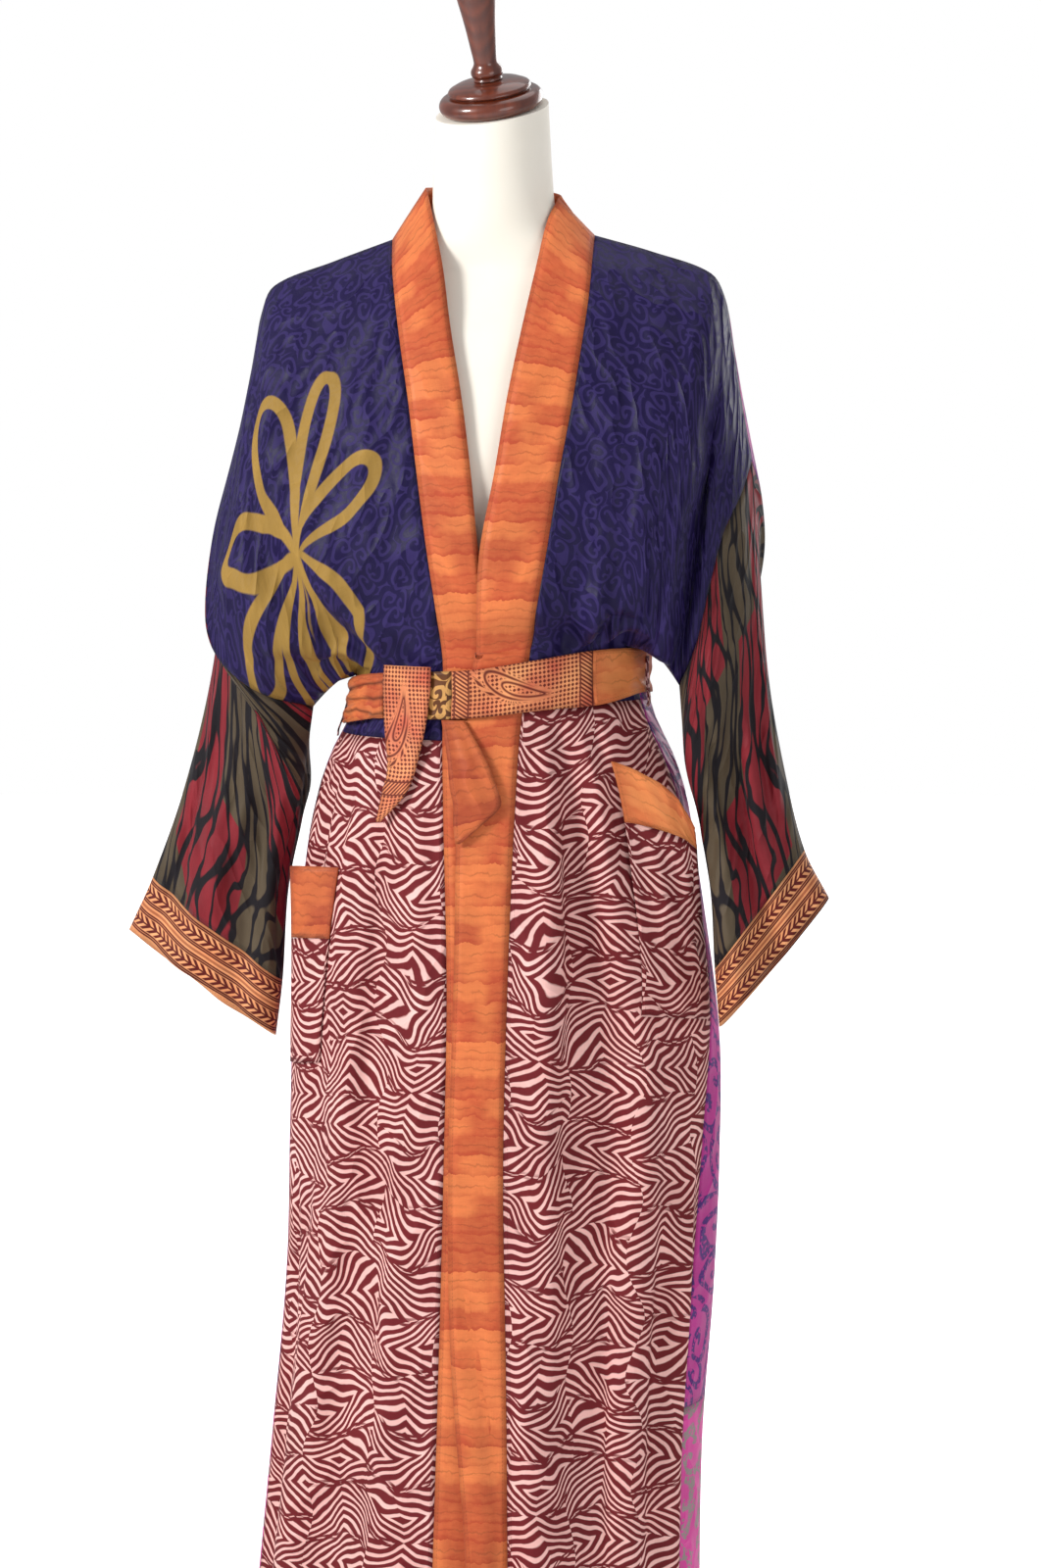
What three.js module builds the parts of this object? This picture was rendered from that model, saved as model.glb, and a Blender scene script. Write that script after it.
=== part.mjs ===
// A patchwork kimono duster, belted, on a limbless dress form.
// Millimetres, +Z up. The front faces -Y and +X is the wearer's left. The stand rests on z = 0.
import * as THREE from "three";

const CLOTH = 1.5; // wall of a single cloth
const SEAM = 0.3; // gap between pieces that are sewn together
const LAYER = 0.5; // clearance of a piece that lies on another
const CORNER_EASE = 0.62; // extra gap where two pieces meet at a sharp corner
const BAND_LIFT = 3; // the left front's edge stands this far out over the right one
const HEM_Z = 105;
const NECK_COLUMNS = 6; // grid columns behind the neck
const FRONT_COLUMNS = 10; // grid columns across one front
const ARM_ROWS = 10; // grid rows beside the armhole
const SIDE_ROWS = 3; // grid rows from the underarm to the top of the belt
const WAIST_ROWS = 3; // grid rows under the belt
const SKIRT_ROWS = 11; // grid rows from the waist seam to the hem

// Half widths and depths of the garment round the body, by height. sideR and sideL are the side
// seams, as angles from the front in degrees.
const BODY = [
  { z: 105, left: 190, right: 224, front: 141, back: 132, sideL: 68, sideR: 77 },
  { z: 300, left: 192, right: 204, front: 137, back: 130, sideL: 68, sideR: 77 },
  { z: 450, left: 202, right: 190, front: 134, back: 128, sideL: 68, sideR: 77 },
  { z: 590, left: 206, right: 186, front: 131, back: 126, sideL: 72, sideR: 77 },
  { z: 720, left: 199, right: 181, front: 127, back: 121, sideL: 83, sideR: 77 },
  { z: 840, left: 179, right: 168, front: 123, back: 111, sideL: 84, sideR: 77 },
  { z: 890, left: 169, right: 157, front: 119, back: 101, sideL: 82, sideR: 77 },
  { z: 925, left: 158, right: 144, front: 116, back: 92, sideL: 79, sideR: 77 },
  { z: 950, left: 147, right: 131, front: 113, back: 86, sideL: 77, sideR: 77 },
  { z: 985, left: 139, right: 124, front: 111, back: 83, sideL: 76, sideR: 77 },
  { z: 1030, left: 140, right: 124, front: 114, back: 84, sideL: 76, sideR: 77 },
];

// Skirt folds: angle from the front at the waist and at the hem, depth in millimetres (outward is
// positive), half width in degrees, and the height at which the fold starts.
const SKIRT_FOLDS = [
  { top: 31, hem: 41, depth: -15, width: 6.5, from: 985 },
  { top: 44, hem: 52, depth: 7, width: 6, from: 900 },
  { top: 20, hem: 22, depth: 5, width: 5, from: 930 },
  { top: 58, hem: 60, depth: 6, width: 5, from: 660 },
  { top: -26, hem: -52, depth: 9, width: 6, from: 900 },
  { top: -17, hem: -30, depth: -8, width: 7, from: 860 },
  { top: -44, hem: -66, depth: -6, width: 7, from: 800 },
  { top: 112, hem: 106, depth: -10, width: 8, from: 930 },
  { top: 132, hem: 128, depth: 9, width: 8, from: 900 },
  { top: 155, hem: 152, depth: -12, width: 8, from: 940 },
  { top: 178, hem: 180, depth: 9, width: 9, from: 900 },
  { top: 204, hem: 207, depth: -11, width: 8, from: 930 },
  { top: 228, hem: 233, depth: 8, width: 8, from: 880 },
  { top: 250, hem: 254, depth: -9, width: 8, from: 900 },
];

// The two fronts from the neck to the belt. seam is the line between cloth and band, free is the
// band's own edge. Everything below the belt follows BODY at the x values of EDGE.
const FRONT_EDGE = {
  right: [
    { t: 0, seamX: -91, seamY: 0, seamZ: 1377, freeX: -60, freeY: -3, freeZ: 1422 },
    { t: 0.09, seamX: -84, seamY: -36, seamZ: 1352, freeX: -50, freeY: -24, freeZ: 1396 },
    { t: 0.19, seamX: -76, seamY: -63, seamZ: 1320, freeX: -36, freeY: -50, freeZ: 1352 },
    { t: 0.3, seamX: -67, seamY: -84, seamZ: 1280, freeX: -24, freeY: -77, freeZ: 1298 },
    { t: 0.42, seamX: -57, seamY: -101, seamZ: 1233, freeX: -10, freeY: -101, freeZ: 1238 },
    { t: 0.57, seamX: -47, seamY: -115, seamZ: 1172, freeX: 1, freeY: -116, freeZ: 1172 },
    { t: 0.73, seamX: -37, seamY: -123, seamZ: 1107, freeX: 9, freeY: -125, freeZ: 1107 },
    { t: 0.88, seamX: -29, seamY: -121, seamZ: 1052, freeX: 18, freeY: -120, freeZ: 1052 },
    { t: 1, seamX: -25, seamY: -112, seamZ: 1010, freeX: 24, freeY: -112, freeZ: 1012 },
  ],
  left: [
    { t: 0, seamX: 91, seamY: 0, seamZ: 1379, freeX: 59, freeY: -3, freeZ: 1412 },
    { t: 0.09, seamX: 94, seamY: -36, seamZ: 1354, freeX: 52, freeY: -24, freeZ: 1390 },
    { t: 0.19, seamX: 95, seamY: -63, seamZ: 1322, freeX: 46, freeY: -52, freeZ: 1346 },
    { t: 0.3, seamX: 92, seamY: -84, seamZ: 1280, freeX: 39, freeY: -80, freeZ: 1296 },
    { t: 0.42, seamX: 87, seamY: -101, seamZ: 1233, freeX: 31, freeY: -104, freeZ: 1240 },
    { t: 0.57, seamX: 78, seamY: -116, seamZ: 1172, freeX: 22, freeY: -119, freeZ: 1173 },
    { t: 0.73, seamX: 69, seamY: -126, seamZ: 1107, freeX: 11, freeY: -129, freeZ: 1107 },
    { t: 0.88, seamX: 60, seamY: -127, seamZ: 1055, freeX: 8, freeY: -130, freeZ: 1053 },
    { t: 1, seamX: 51, seamY: -114, seamZ: 1020, freeX: 5, freeY: -119, freeZ: 1012 },
  ],
};

// The band's two edges below the belt, by height. The left band lies over the right one.
const EDGE = [
  { z: 105, rightSeam: -33, rightFree: 20, leftSeam: 38, leftFree: 10 },
  { z: 212, rightSeam: -30, rightFree: 26, leftSeam: 37, leftFree: 4 },
  { z: 391, rightSeam: -25, rightFree: 28, leftSeam: 35, leftFree: -13 },
  { z: 563, rightSeam: -21, rightFree: 28, leftSeam: 32, leftFree: -16 },
  { z: 733, rightSeam: -19, rightFree: 28, leftSeam: 35, leftFree: -12 },
  { z: 937, rightSeam: -25, rightFree: 28, leftSeam: 42, leftFree: -9 },
  { z: 972, rightSeam: -25, rightFree: 26, leftSeam: 45, leftFree: -4 },
  { z: 1020, rightSeam: -25, rightFree: 24, leftSeam: 51, leftFree: 5 },
];

// The fold line over each shoulder, from the neck to the top of the sleeve.
const SHOULDER = {
  right: [
    { t: 0, x: -91, z: 1377 },
    { t: 0.2, x: -145, z: 1358 },
    { t: 0.42, x: -199, z: 1337 },
    { t: 0.53, x: -211, z: 1312 },
    { t: 0.66, x: -217, z: 1279 },
    { t: 0.82, x: -224, z: 1238 },
    { t: 1, x: -233, z: 1196 },
  ],
  left: [
    { t: 0, x: 91, z: 1379 },
    { t: 0.2, x: 143, z: 1364 },
    { t: 0.4, x: 194, z: 1345 },
    { t: 0.5, x: 207, z: 1322 },
    { t: 0.64, x: 213, z: 1288 },
    { t: 0.82, x: 221, z: 1238 },
    { t: 1, x: 231, z: 1181 },
  ],
};

// The armhole seams, from the top of the sleeve to the underarm.
const ARMHOLE = {
  right: {
    front: [
      { t: 0, x: -233, y: 0, z: 1196 },
      { t: 0.12, x: -238, y: -22, z: 1166 },
      { t: 0.3, x: -246, y: -44, z: 1115 },
      { t: 0.5, x: -251, y: -54, z: 1055 },
      { t: 0.64, x: -246, y: -58, z: 1020 },
      { t: 0.77, x: -226, y: -64, z: 994 },
      { t: 0.9, x: -194, y: -60, z: 973 },
      { t: 1, x: -158, y: -30, z: 962 },
    ],
    back: [
      { t: 0, x: -233, y: 0, z: 1196 },
      { t: 0.15, x: -238, y: 22, z: 1165 },
      { t: 0.4, x: -242, y: 42, z: 1105 },
      { t: 0.62, x: -232, y: 50, z: 1045 },
      { t: 0.82, x: -205, y: 40, z: 996 },
      { t: 1, x: -158, y: -30, z: 962 },
    ],
  },
  left: {
    front: [
      { t: 0, x: 231, y: 0, z: 1181 },
      { t: 0.18, x: 225, y: -32, z: 1152 },
      { t: 0.38, x: 212, y: -54, z: 1118 },
      { t: 0.58, x: 202, y: -64, z: 1075 },
      { t: 0.8, x: 190, y: -62, z: 1024 },
      { t: 1, x: 172, y: -35, z: 985 },
    ],
    back: [
      { t: 0, x: 231, y: 0, z: 1181 },
      { t: 0.2, x: 238, y: 22, z: 1148 },
      { t: 0.45, x: 238, y: 42, z: 1095 },
      { t: 0.7, x: 223, y: 46, z: 1036 },
      { t: 0.86, x: 203, y: 25, z: 1004 },
      { t: 1, x: 172, y: -35, z: 985 },
    ],
  },
};

// Sleeve rings below the armhole: the outer and inner ends of the flattened ring, its half
// thickness in front and behind, and how far each side hangs below the line between the ends.
const SLEEVE = {
  right: [
    { s: 0.2, outX: -245, outZ: 1095, inX: -165, inY: -26, inZ: 918,
      front: 44, back: 58, dropF: 44, dropB: 44 },
    { s: 0.42, outX: -258, outZ: 993, inX: -174, inY: -18, inZ: 862,
      front: 38, back: 46, dropF: 24, dropB: 24 },
    { s: 0.66, outX: -284, outZ: 888, inX: -186, inY: -18, inZ: 795,
      front: 34, back: 34, dropF: 8, dropB: 10 },
    { s: 0.88, outX: -315, outZ: 802, inX: -190, inY: -24, inZ: 714,
      front: 30, back: 30, dropF: -4, dropB: 12 },
    { s: 1, outX: -338, outZ: 752, inX: -196, inY: -26, inZ: 664,
      front: 31, back: 31, dropF: -8, dropB: 14 },
  ],
  left: [
    { s: 0.2, outX: 239, outZ: 1082, inX: 177, inY: -34, inZ: 932,
      front: 44, back: 58, dropF: 26, dropB: 40 },
    { s: 0.42, outX: 247, outZ: 990, inX: 188, inY: -14, inZ: 868,
      front: 40, back: 46, dropF: 12, dropB: 16 },
    { s: 0.66, outX: 262, outZ: 908, inX: 199, inY: -16, inZ: 803,
      front: 38, back: 34, dropF: 8, dropB: 10 },
    { s: 0.88, outX: 280, outZ: 838, inX: 206, inY: -44, inZ: 737,
      front: 30, back: 30, dropF: 2, dropB: 6 },
    { s: 1, outX: 302, outZ: 796, inX: 211, inY: -50, inZ: 686,
      front: 28, back: 30, dropF: 0, dropB: 6 },
  ],
};
const CUFF_START = 0.88;
const SLEEVE_ROWS = 8;
const CUFF_ROWS = 2;

// Sleeve folds: place round the ring (0 at the outer edge, 0.25 in front, 0.5 inside), depth,
// half width and the place along the sleeve where it starts.
const SLEEVE_FOLDS = {
  right: [
    { at: 0.14, depth: -7, width: 0.03, from: 0.3 },
    { at: 0.22, depth: 7, width: 0.035, from: 0.2 },
    { at: 0.33, depth: -8, width: 0.035, from: 0.25 },
    { at: 0.72, depth: -8, width: 0.04, from: 0.3 },
  ],
  left: [
    { at: 0.13, depth: -6, width: 0.03, from: 0.3 },
    { at: 0.24, depth: -14, width: 0.035, from: 0.25 },
    { at: 0.34, depth: 9, width: 0.05, from: 0.2 },
    { at: 0.76, depth: -8, width: 0.04, from: 0.3 },
  ],
};

// Folds of the fronts and the back above the belt: place across the piece at the shoulder and at
// the belt, depth, half width and the stretch from shoulder (0) to belt (1).
const BODICE_FOLDS = {
  right: [
    { top: 0.45, low: 0.42, depth: 9, width: 0.12, from: 0.1, to: 0.98 },
    { top: 0.62, low: 0.5, depth: -9, width: 0.07, from: 0.35, to: 0.98 },
    { top: 0.8, low: 0.74, depth: 14, width: 0.14, from: 0.25, to: 1 },
  ],
  left: [
    { top: 0.4, low: 0.5, depth: 15, width: 0.2, from: 0.08, to: 0.99 },
    { top: 0.6, low: 0.97, depth: -24, width: 0.07, from: 0.1, to: 0.8 },
    { top: 0.52, low: 0.84, depth: 12, width: 0.08, from: 0.15, to: 0.97 },
  ],
  back: [
    { top: 0.22, low: 0.25, depth: 12, width: 0.09, from: 0.15, to: 0.98 },
    { top: 0.5, low: 0.5, depth: 14, width: 0.16, from: 0.1, to: 0.98 },
    { top: 0.78, low: 0.75, depth: 12, width: 0.09, from: 0.15, to: 0.98 },
  ],
};

// The dress form: centre, half width and depths by height, and the forward tilt of the section.
const FORM = [
  { z: 722, x: 0, y: 0, half: 146, front: 98, back: 98, tilt: 0 },
  { z: 760, x: 0, y: 0, half: 152, front: 102, back: 102, tilt: 0 },
  { z: 830, x: 0, y: 0, half: 150, front: 103, back: 96, tilt: 0 },
  { z: 900, x: 2, y: 0, half: 132, front: 96, back: 82, tilt: 0 },
  { z: 960, x: 4, y: 0, half: 114, front: 90, back: 70, tilt: 0 },
  { z: 1000, x: 4, y: 0, half: 110, front: 90, back: 68, tilt: 0 },
  { z: 1060, x: 3, y: 0, half: 120, front: 98, back: 74, tilt: 0 },
  { z: 1130, x: 1, y: 0, half: 138, front: 108, back: 84, tilt: 0 },
  { z: 1190, x: 0, y: 0, half: 150, front: 104, back: 88, tilt: 0 },
  { z: 1240, x: 0, y: 0, half: 158, front: 90, back: 88, tilt: 0 },
  { z: 1285, x: 0, y: 0, half: 172, front: 72, back: 72, tilt: 0 },
  { z: 1315, x: 0, y: 1, half: 172, front: 54, back: 56, tilt: 0 },
  { z: 1335, x: 0, y: 1, half: 160, front: 42, back: 42, tilt: 0 },
  { z: 1350, x: 0, y: 1, half: 130, front: 34, back: 30, tilt: 0 },
  { z: 1362, x: 0, y: 1, half: 95.5, front: 35, back: 32, tilt: 0 },
  { z: 1378, x: 0, y: 1, half: 67, front: 39, back: 44, tilt: 1 },
  { z: 1398, x: 0, y: 0, half: 56, front: 43, back: 48, tilt: 2 },
  { z: 1430, x: 0, y: -3, half: 53, front: 45, back: 48, tilt: 6 },
  { z: 1462, x: 1, y: -8, half: 51, front: 46, back: 47, tilt: 13 },
  { z: 1488, x: 1.5, y: -13, half: 50, front: 47, back: 47, tilt: 20 },
];
const FORM_SIDES = 32;
const SHOULDER_LOW = 1285; // the form's rings stand closer together from here
const NECK_FOOT = 1400; // up to here
const NECK_ROLL = -4.6; // the cap and finial lean to the wearer's right, in degrees
const CAP_RADIUS = 46;
const STAND_POLE_RADIUS = 14;
const BASE_RADIUS = 185;
const BASE_HEIGHT = 24;

// Belt: height of its middle by angle from the front in degrees, and its own width.
const BELT_LINE = [
  { angle: -110, middle: 968, width: 40 },
  { angle: -77, middle: 968, width: 40 },
  { angle: -45, middle: 976, width: 40 },
  { angle: 0, middle: 981, width: 42 },
  { angle: 25, middle: 989, width: 44 },
  { angle: 48, middle: 994, width: 48 },
  { angle: 75, middle: 998, width: 40 },
  { angle: 110, middle: 994, width: 40 },
  { angle: 180, middle: 984, width: 42 },
  { angle: 250, middle: 968, width: 40 },
];
const BELT_THICKNESS = 2.4;
const BELT_PIECES = [
  { name: "belt_pleats", from: -77, to: -38, step: 3.9, color: "#cf7a42" },
  { name: "belt_ornament", from: -38, to: -7, step: 6.2, color: "#7a4a1c" },
  { name: "belt_print", from: -7, to: 46, step: 6, color: "#d9805a" },
  { name: "belt_back", from: 46, to: 283, step: 7.9, color: "#d8743c" },
];

const BELT_CLEARANCE = 1.3;

// Pockets: columns of the skirt panel at the inner and outer edge, above and below, the heights of
// the mouth, of the strip's lower seam and of the bottom, and how far the mouth stands open.
const POCKETS = {
  right: {
    inner: 5.5, innerLow: 6.4, outer: 9, outerLow: 9.8, topIn: 824, topOut: 818,
    stripIn: 760, stripOut: 753, bottomIn: 648, bottomOut: 640, gape: 15,
  },
  left: {
    inner: 5, innerLow: 5, outer: 8.1, outerLow: 9.75, topIn: 921, topOut: 857,
    stripIn: 868, stripOut: 838, bottomIn: 700, bottomOut: 688, gape: 24,
  },
};
const POCKET_COLUMNS = 6;
const POCKET_FULLNESS = 4;
const POCKET_CLEARANCE = 1;

// Belt ends: middle, half width and distance from the garment, by height.
const TAIL_PRINT = [
  { z: 1004, x: -55, half: 22, out: 6.2 },
  { z: 985, x: -55, half: 22, out: 7.2 },
  { z: 952, x: -56, half: 19, out: 7.4 },
  { z: 915, x: -59, half: 13, out: 6.5 },
  { z: 893, x: -66, half: 11, out: 6.5 },
  { z: 868, x: -80, half: 2, out: 6.5 },
];
const TAIL_PLAIN = [
  { z: 958.4, x: -14, half: 10, out: 3.7 },
  { z: 927, x: -2, half: 16, out: 5 },
  { z: 900, x: 5, half: 20, out: 6 },
  { z: 885, x: 8, half: 20, out: 6 },
  { z: 870, x: 1, half: 13, out: 6 },
  { z: 852, x: -8, half: 2, out: 6 },
];
const TAIL_COLUMNS = 3;
// Side loops: angle from the front, and how far the top end is above the belt's middle.
const LOOPS = { right: { angle: -86, top: 2 }, left: { angle: 80, top: 12 } };
const LOOP_HALF = 1.6; // half width, in degrees

const radians = THREE.MathUtils.degToRad;
const point = (x, y, z) => new THREE.Vector3(x, y, z);
const mix = (a, b, t) => a + (b - a) * t;

/** Reads every column of a table at one value of the column `by`, as a smooth curve. */
function read(table, by, at) {
  const last = table.length - 1;
  let i = 0;
  while (i < last - 1 && at > table[i + 1][by]) i += 1;
  const [a, b] = [table[i], table[i + 1]];
  const [before, after] = [table[Math.max(i - 1, 0)], table[Math.min(i + 2, last)]];
  const span = b[by] - a[by];
  const t = THREE.MathUtils.clamp((at - a[by]) / span, 0, 1);
  const out = {};
  for (const key of Object.keys(a)) {
    const slopeA = (span * (b[key] - before[key])) / (b[by] - before[by]);
    const slopeB = (span * (after[key] - a[key])) / (after[by] - a[by]);
    out[key] = (2 * t ** 3 - 3 * t ** 2 + 1) * a[key] + (t ** 3 - 2 * t ** 2 + t) * slopeA
      + (3 * t ** 2 - 2 * t ** 3) * b[key] + (t ** 3 - t ** 2) * slopeB;
  }
  return out;
}

/** 0 below a, 1 above b, smooth between. */
const rise = (a, b, x) => THREE.MathUtils.smoothstep(x, a, b);

/** Outline of the garment round the body, with its folds. The angle is in degrees from the front. */
function bodyPoint(angle, z, out = 0) {
  const body = read(BODY, "z", z);
  const turned = radians(angle);
  const [s, c] = [Math.sin(turned), Math.cos(turned)];
  const width = s > 0 ? body.left : body.right;
  const depth = c > 0 ? body.front : body.back;
  const normal = point(s / width, -c / depth, 0).normalize();
  return point(width * s, -depth * c, z).addScaledVector(normal, out + skirtFold(angle, z));
}

function skirtFold(angle, z) {
  let sum = 0;
  for (const fold of SKIRT_FOLDS) {
    const down = (985 - z) / (985 - HEM_Z);
    const middle = mix(fold.top, fold.hem, down);
    const turn = THREE.MathUtils.euclideanModulo(angle - middle + 180, 360) - 180;
    sum += fold.depth * Math.exp(-((turn / fold.width) ** 2)) * rise(0, 260, fold.from - z);
  }
  return sum;
}

/** Angle at which the front of the body outline reaches this x. */
function frontAngle(x, z) {
  const body = read(BODY, "z", z);
  return THREE.MathUtils.radToDeg(Math.asin(x / (x > 0 ? body.left : body.right)));
}

/** How far the upper front, its band and its skirt panel stand off the lower ones. */
function overlap(angle) {
  return BAND_LIFT * (1 - rise(22, 40, angle));
}

const SIDES = {
  right: { sign: -1, waistZ: 940, lap: () => 0 },
  left: { sign: 1, waistZ: 972, lap: overlap },
};

/** Patch between four edges that meet at their ends. The bend of the two side edges fades across it. */
function patch(top, bottom, start, end, fade = 1) {
  const bend = (edge, u, w) => edge(w).sub(top(u).lerp(bottom(u), w));
  return (u, w) => top(u).lerp(bottom(u), w)
    .addScaledVector(bend(start, 0, w), (1 - u) ** fade)
    .addScaledVector(bend(end, 1, w), u ** fade);
}

/** Adds the named folds of a bodice piece to a patch, along y. */
function creased(surface, folds, sign) {
  return (u, w) => {
    const place = surface(u, w);
    for (const fold of folds) {
      const middle = mix(fold.top, fold.low, w);
      const along = rise(fold.from, fold.from + 0.25, w) * (1 - rise(fold.to - 0.22, fold.to, w));
      const across = Math.exp(-(((u - middle) / fold.width) ** 2)) * rise(0, 0.1, u) * rise(0, 0.1, 1 - u);
      place.y += sign * fold.depth * along * across;
    }
    return place;
  };
}

/** Grid of points from a surface, one row for each value of w. */
function grid(surface, columns, rows) {
  return rows.map((w) => columns.map((u) => surface(u, w)));
}

const steps = (count, from = 0, to = 1) =>
  Array.from({ length: count + 1 }, (_, i) => mix(from, to, i / count));

const toPoint = (r) => point(r.x, r.y ?? 0, r.z);
const UPPER_ROWS = steps(ARM_ROWS + SIDE_ROWS);
const ARM_END = ARM_ROWS / (ARM_ROWS + SIDE_ROWS);

/** The height of the line just above the belt. */
function beltTop(angle) {
  const belt = read(BELT_LINE, "angle", angle > 250 ? angle - 360 : angle);
  return belt.middle + belt.width / 2 + 6;
}

/** Side seam from the underarm to the top of the belt. */
function sideSeam(name, t) {
  const { sign } = SIDES[name];
  const underarm = toPoint(ARMHOLE[name].front.at(-1));
  const angle = sign * read(BODY, "z", 1000)[name === "left" ? "sideL" : "sideR"];
  const end = bodyPoint(angle, beltTop(angle));
  const middle = underarm.clone().lerp(end, 0.5).add(point(0, 4, 8));
  return new THREE.QuadraticBezierCurve3(underarm, middle, end).getPoint(t);
}

/** Outer edge of a front or back: the armhole, then the side seam. */
function outerEdge(name, face) {
  return (w) => (w <= ARM_END
    ? toPoint(read(ARMHOLE[name][face], "t", w / ARM_END))
    : sideSeam(name, (w - ARM_END) / (1 - ARM_END)));
}

/** Rows from the top of the belt down to the waist seam and on to the hem. */
function lowerRow(name, top, angleAt, lap) {
  const { waistZ } = SIDES[name];
  const heights = [
    ...steps(WAIST_ROWS).slice(1).map((t) => (i) => mix(top[i].z, waistZ, t)),
    ...steps(SKIRT_ROWS).slice(1).map((t) => () => mix(waistZ, HEM_Z, t)),
  ];
  return heights.map((heightOf) => top.map((_, i) => {
    const z = heightOf(i);
    const angle = angleAt(i, z);
    return bodyPoint(angle, z, lap(angle));
  }));
}

/** Point of a front's band seam or of the band's free edge, from the neck (0) to the belt (1). */
function edgePoint(name, edge, w) {
  const r = read(FRONT_EDGE[name], "t", w);
  const place = point(r[`${edge}X`], r[`${edge}Y`], r[`${edge}Z`]);
  const angle = frontAngle(place.x, place.z);
  const onBody = bodyPoint(angle, place.z, SIDES[name].lap(angle));
  return place.lerp(onBody, rise(0.88, 1, w));
}

/** Grid of one front from the shoulder to the hem. Its first column is the band seam. */
function frontGrid(name) {
  const { sign, lap } = SIDES[name];
  const side = name === "left" ? "sideL" : "sideR";
  const inner = (w) => edgePoint(name, "seam", w);
  const outer = outerEdge(name, "front");
  const start = Math.abs(frontAngle(inner(1).x, inner(1).z));
  const finish = read(BODY, "z", 1000)[side];
  const belt = (u) => {
    const angle = sign * mix(start, finish, u);
    const z = mix(inner(1).z, beltTop(angle), rise(0, 0.25, u));
    const place = bodyPoint(angle, z, lap(angle));
    return place.lerp(inner(1), 1 - rise(0, 0.15, u));
  };
  const shoulder = (u) => toPoint(read(SHOULDER[name], "t", u));
  const surface = creased(patch(shoulder, belt, inner, outer), BODICE_FOLDS[name], -1);
  const columns = steps(FRONT_COLUMNS);
  const upper = grid(surface, columns, UPPER_ROWS);
  const angleAt = (i, z) => {
    const seam = Math.abs(frontAngle(read(EDGE, "z", z)[`${name}Seam`], z));
    return sign * mix(seam, read(BODY, "z", z)[side], columns[i]);
  };
  return [...upper, ...lowerRow(name, upper.at(-1), angleAt, lap)];
}

/** Grid of a band, from its seam (first column) to its free edge. */
function bandGrid(name, front) {
  const { lap } = SIDES[name];
  return front.map((rowPoints, i) => {
    const seam = rowPoints[0];
    if (i < UPPER_ROWS.length) {
      const free = edgePoint(name, "free", UPPER_ROWS[i]);
      const middle = seam.clone().lerp(free, 0.5).add(point(0, -1, 0));
      return [seam.clone(), middle, free];
    }
    return [0, 0.5, 1].map((t) => {
      if (t === 0) return seam.clone();
      const r = read(EDGE, "z", seam.z);
      const x = mix(r[`${name}Seam`], r[`${name}Free`], t);
      const open = name === "left" ? 22 * t * (1 - rise(120, 380, seam.z)) : 0;
      const angle = frontAngle(x, seam.z);
      return bodyPoint(angle, seam.z, lap(angle) + open);
    });
  });
}

/** Grid of the back from the shoulders to the hem, from the right side to the left side. */
function backGrid() {
  const columns = [
    ...steps(FRONT_COLUMNS).map((u) => ({ side: "right", u: 1 - u })),
    ...steps(NECK_COLUMNS).slice(1, -1).map((t) => ({ side: "neck", u: t })),
    ...steps(FRONT_COLUMNS).map((u) => ({ side: "left", u })),
  ];
  const places = columns.map((_, i) => i / (columns.length - 1));
  const neckline = (t) => {
    const bow = Math.sin(Math.PI * t);
    return point(mix(-91, 91, t), 66 * bow ** 0.8, 1378 + 12 * bow);
  };
  const topOf = (i) => (columns[i].side === "neck"
    ? neckline(columns[i].u)
    : toPoint(read(SHOULDER[columns[i].side], "t", columns[i].u)));
  const angleOf = (i, z) => {
    const body = read(BODY, "z", z);
    return mix(-body.sideR, body.sideL - 360, places[i]) + 360;
  };
  const belt = (i) => bodyPoint(angleOf(i, 1000), beltTop(angleOf(i, 1000)));
  const index = (u) => Math.round(u * (columns.length - 1));
  const surface = creased(
    patch(
      (u) => topOf(index(u)),
      (u) => belt(index(u)),
      outerEdge("right", "back"),
      outerEdge("left", "back"),
      3,
    ),
    BODICE_FOLDS.back,
    1,
  );
  const blade = (u, w) => {
    const place = surface(u, w);
    const depth = 52 - 38 * Math.exp(-(((u - 0.5) / 0.13) ** 2));
    place.y += depth * Math.sin(Math.PI * u) ** 0.7 * Math.sin(Math.PI * w ** 0.6);
    return place;
  };
  const upper = grid(blade, places, UPPER_ROWS);
  const waist = (i) => mix(SIDES.right.waistZ, SIDES.left.waistZ, places[i]);
  const heights = [
    ...steps(WAIST_ROWS).slice(1).map((t) => (i) => mix(upper.at(-1)[i].z, waist(i), t)),
    ...steps(SKIRT_ROWS).slice(1).map((t) => (i) => mix(waist(i), HEM_Z, t)),
  ];
  const lower = heights.map((z) => upper.at(-1).map((_, i) => bodyPoint(angleOf(i, z(i)), z(i))));
  return [...upper, ...lower];
}

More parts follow.
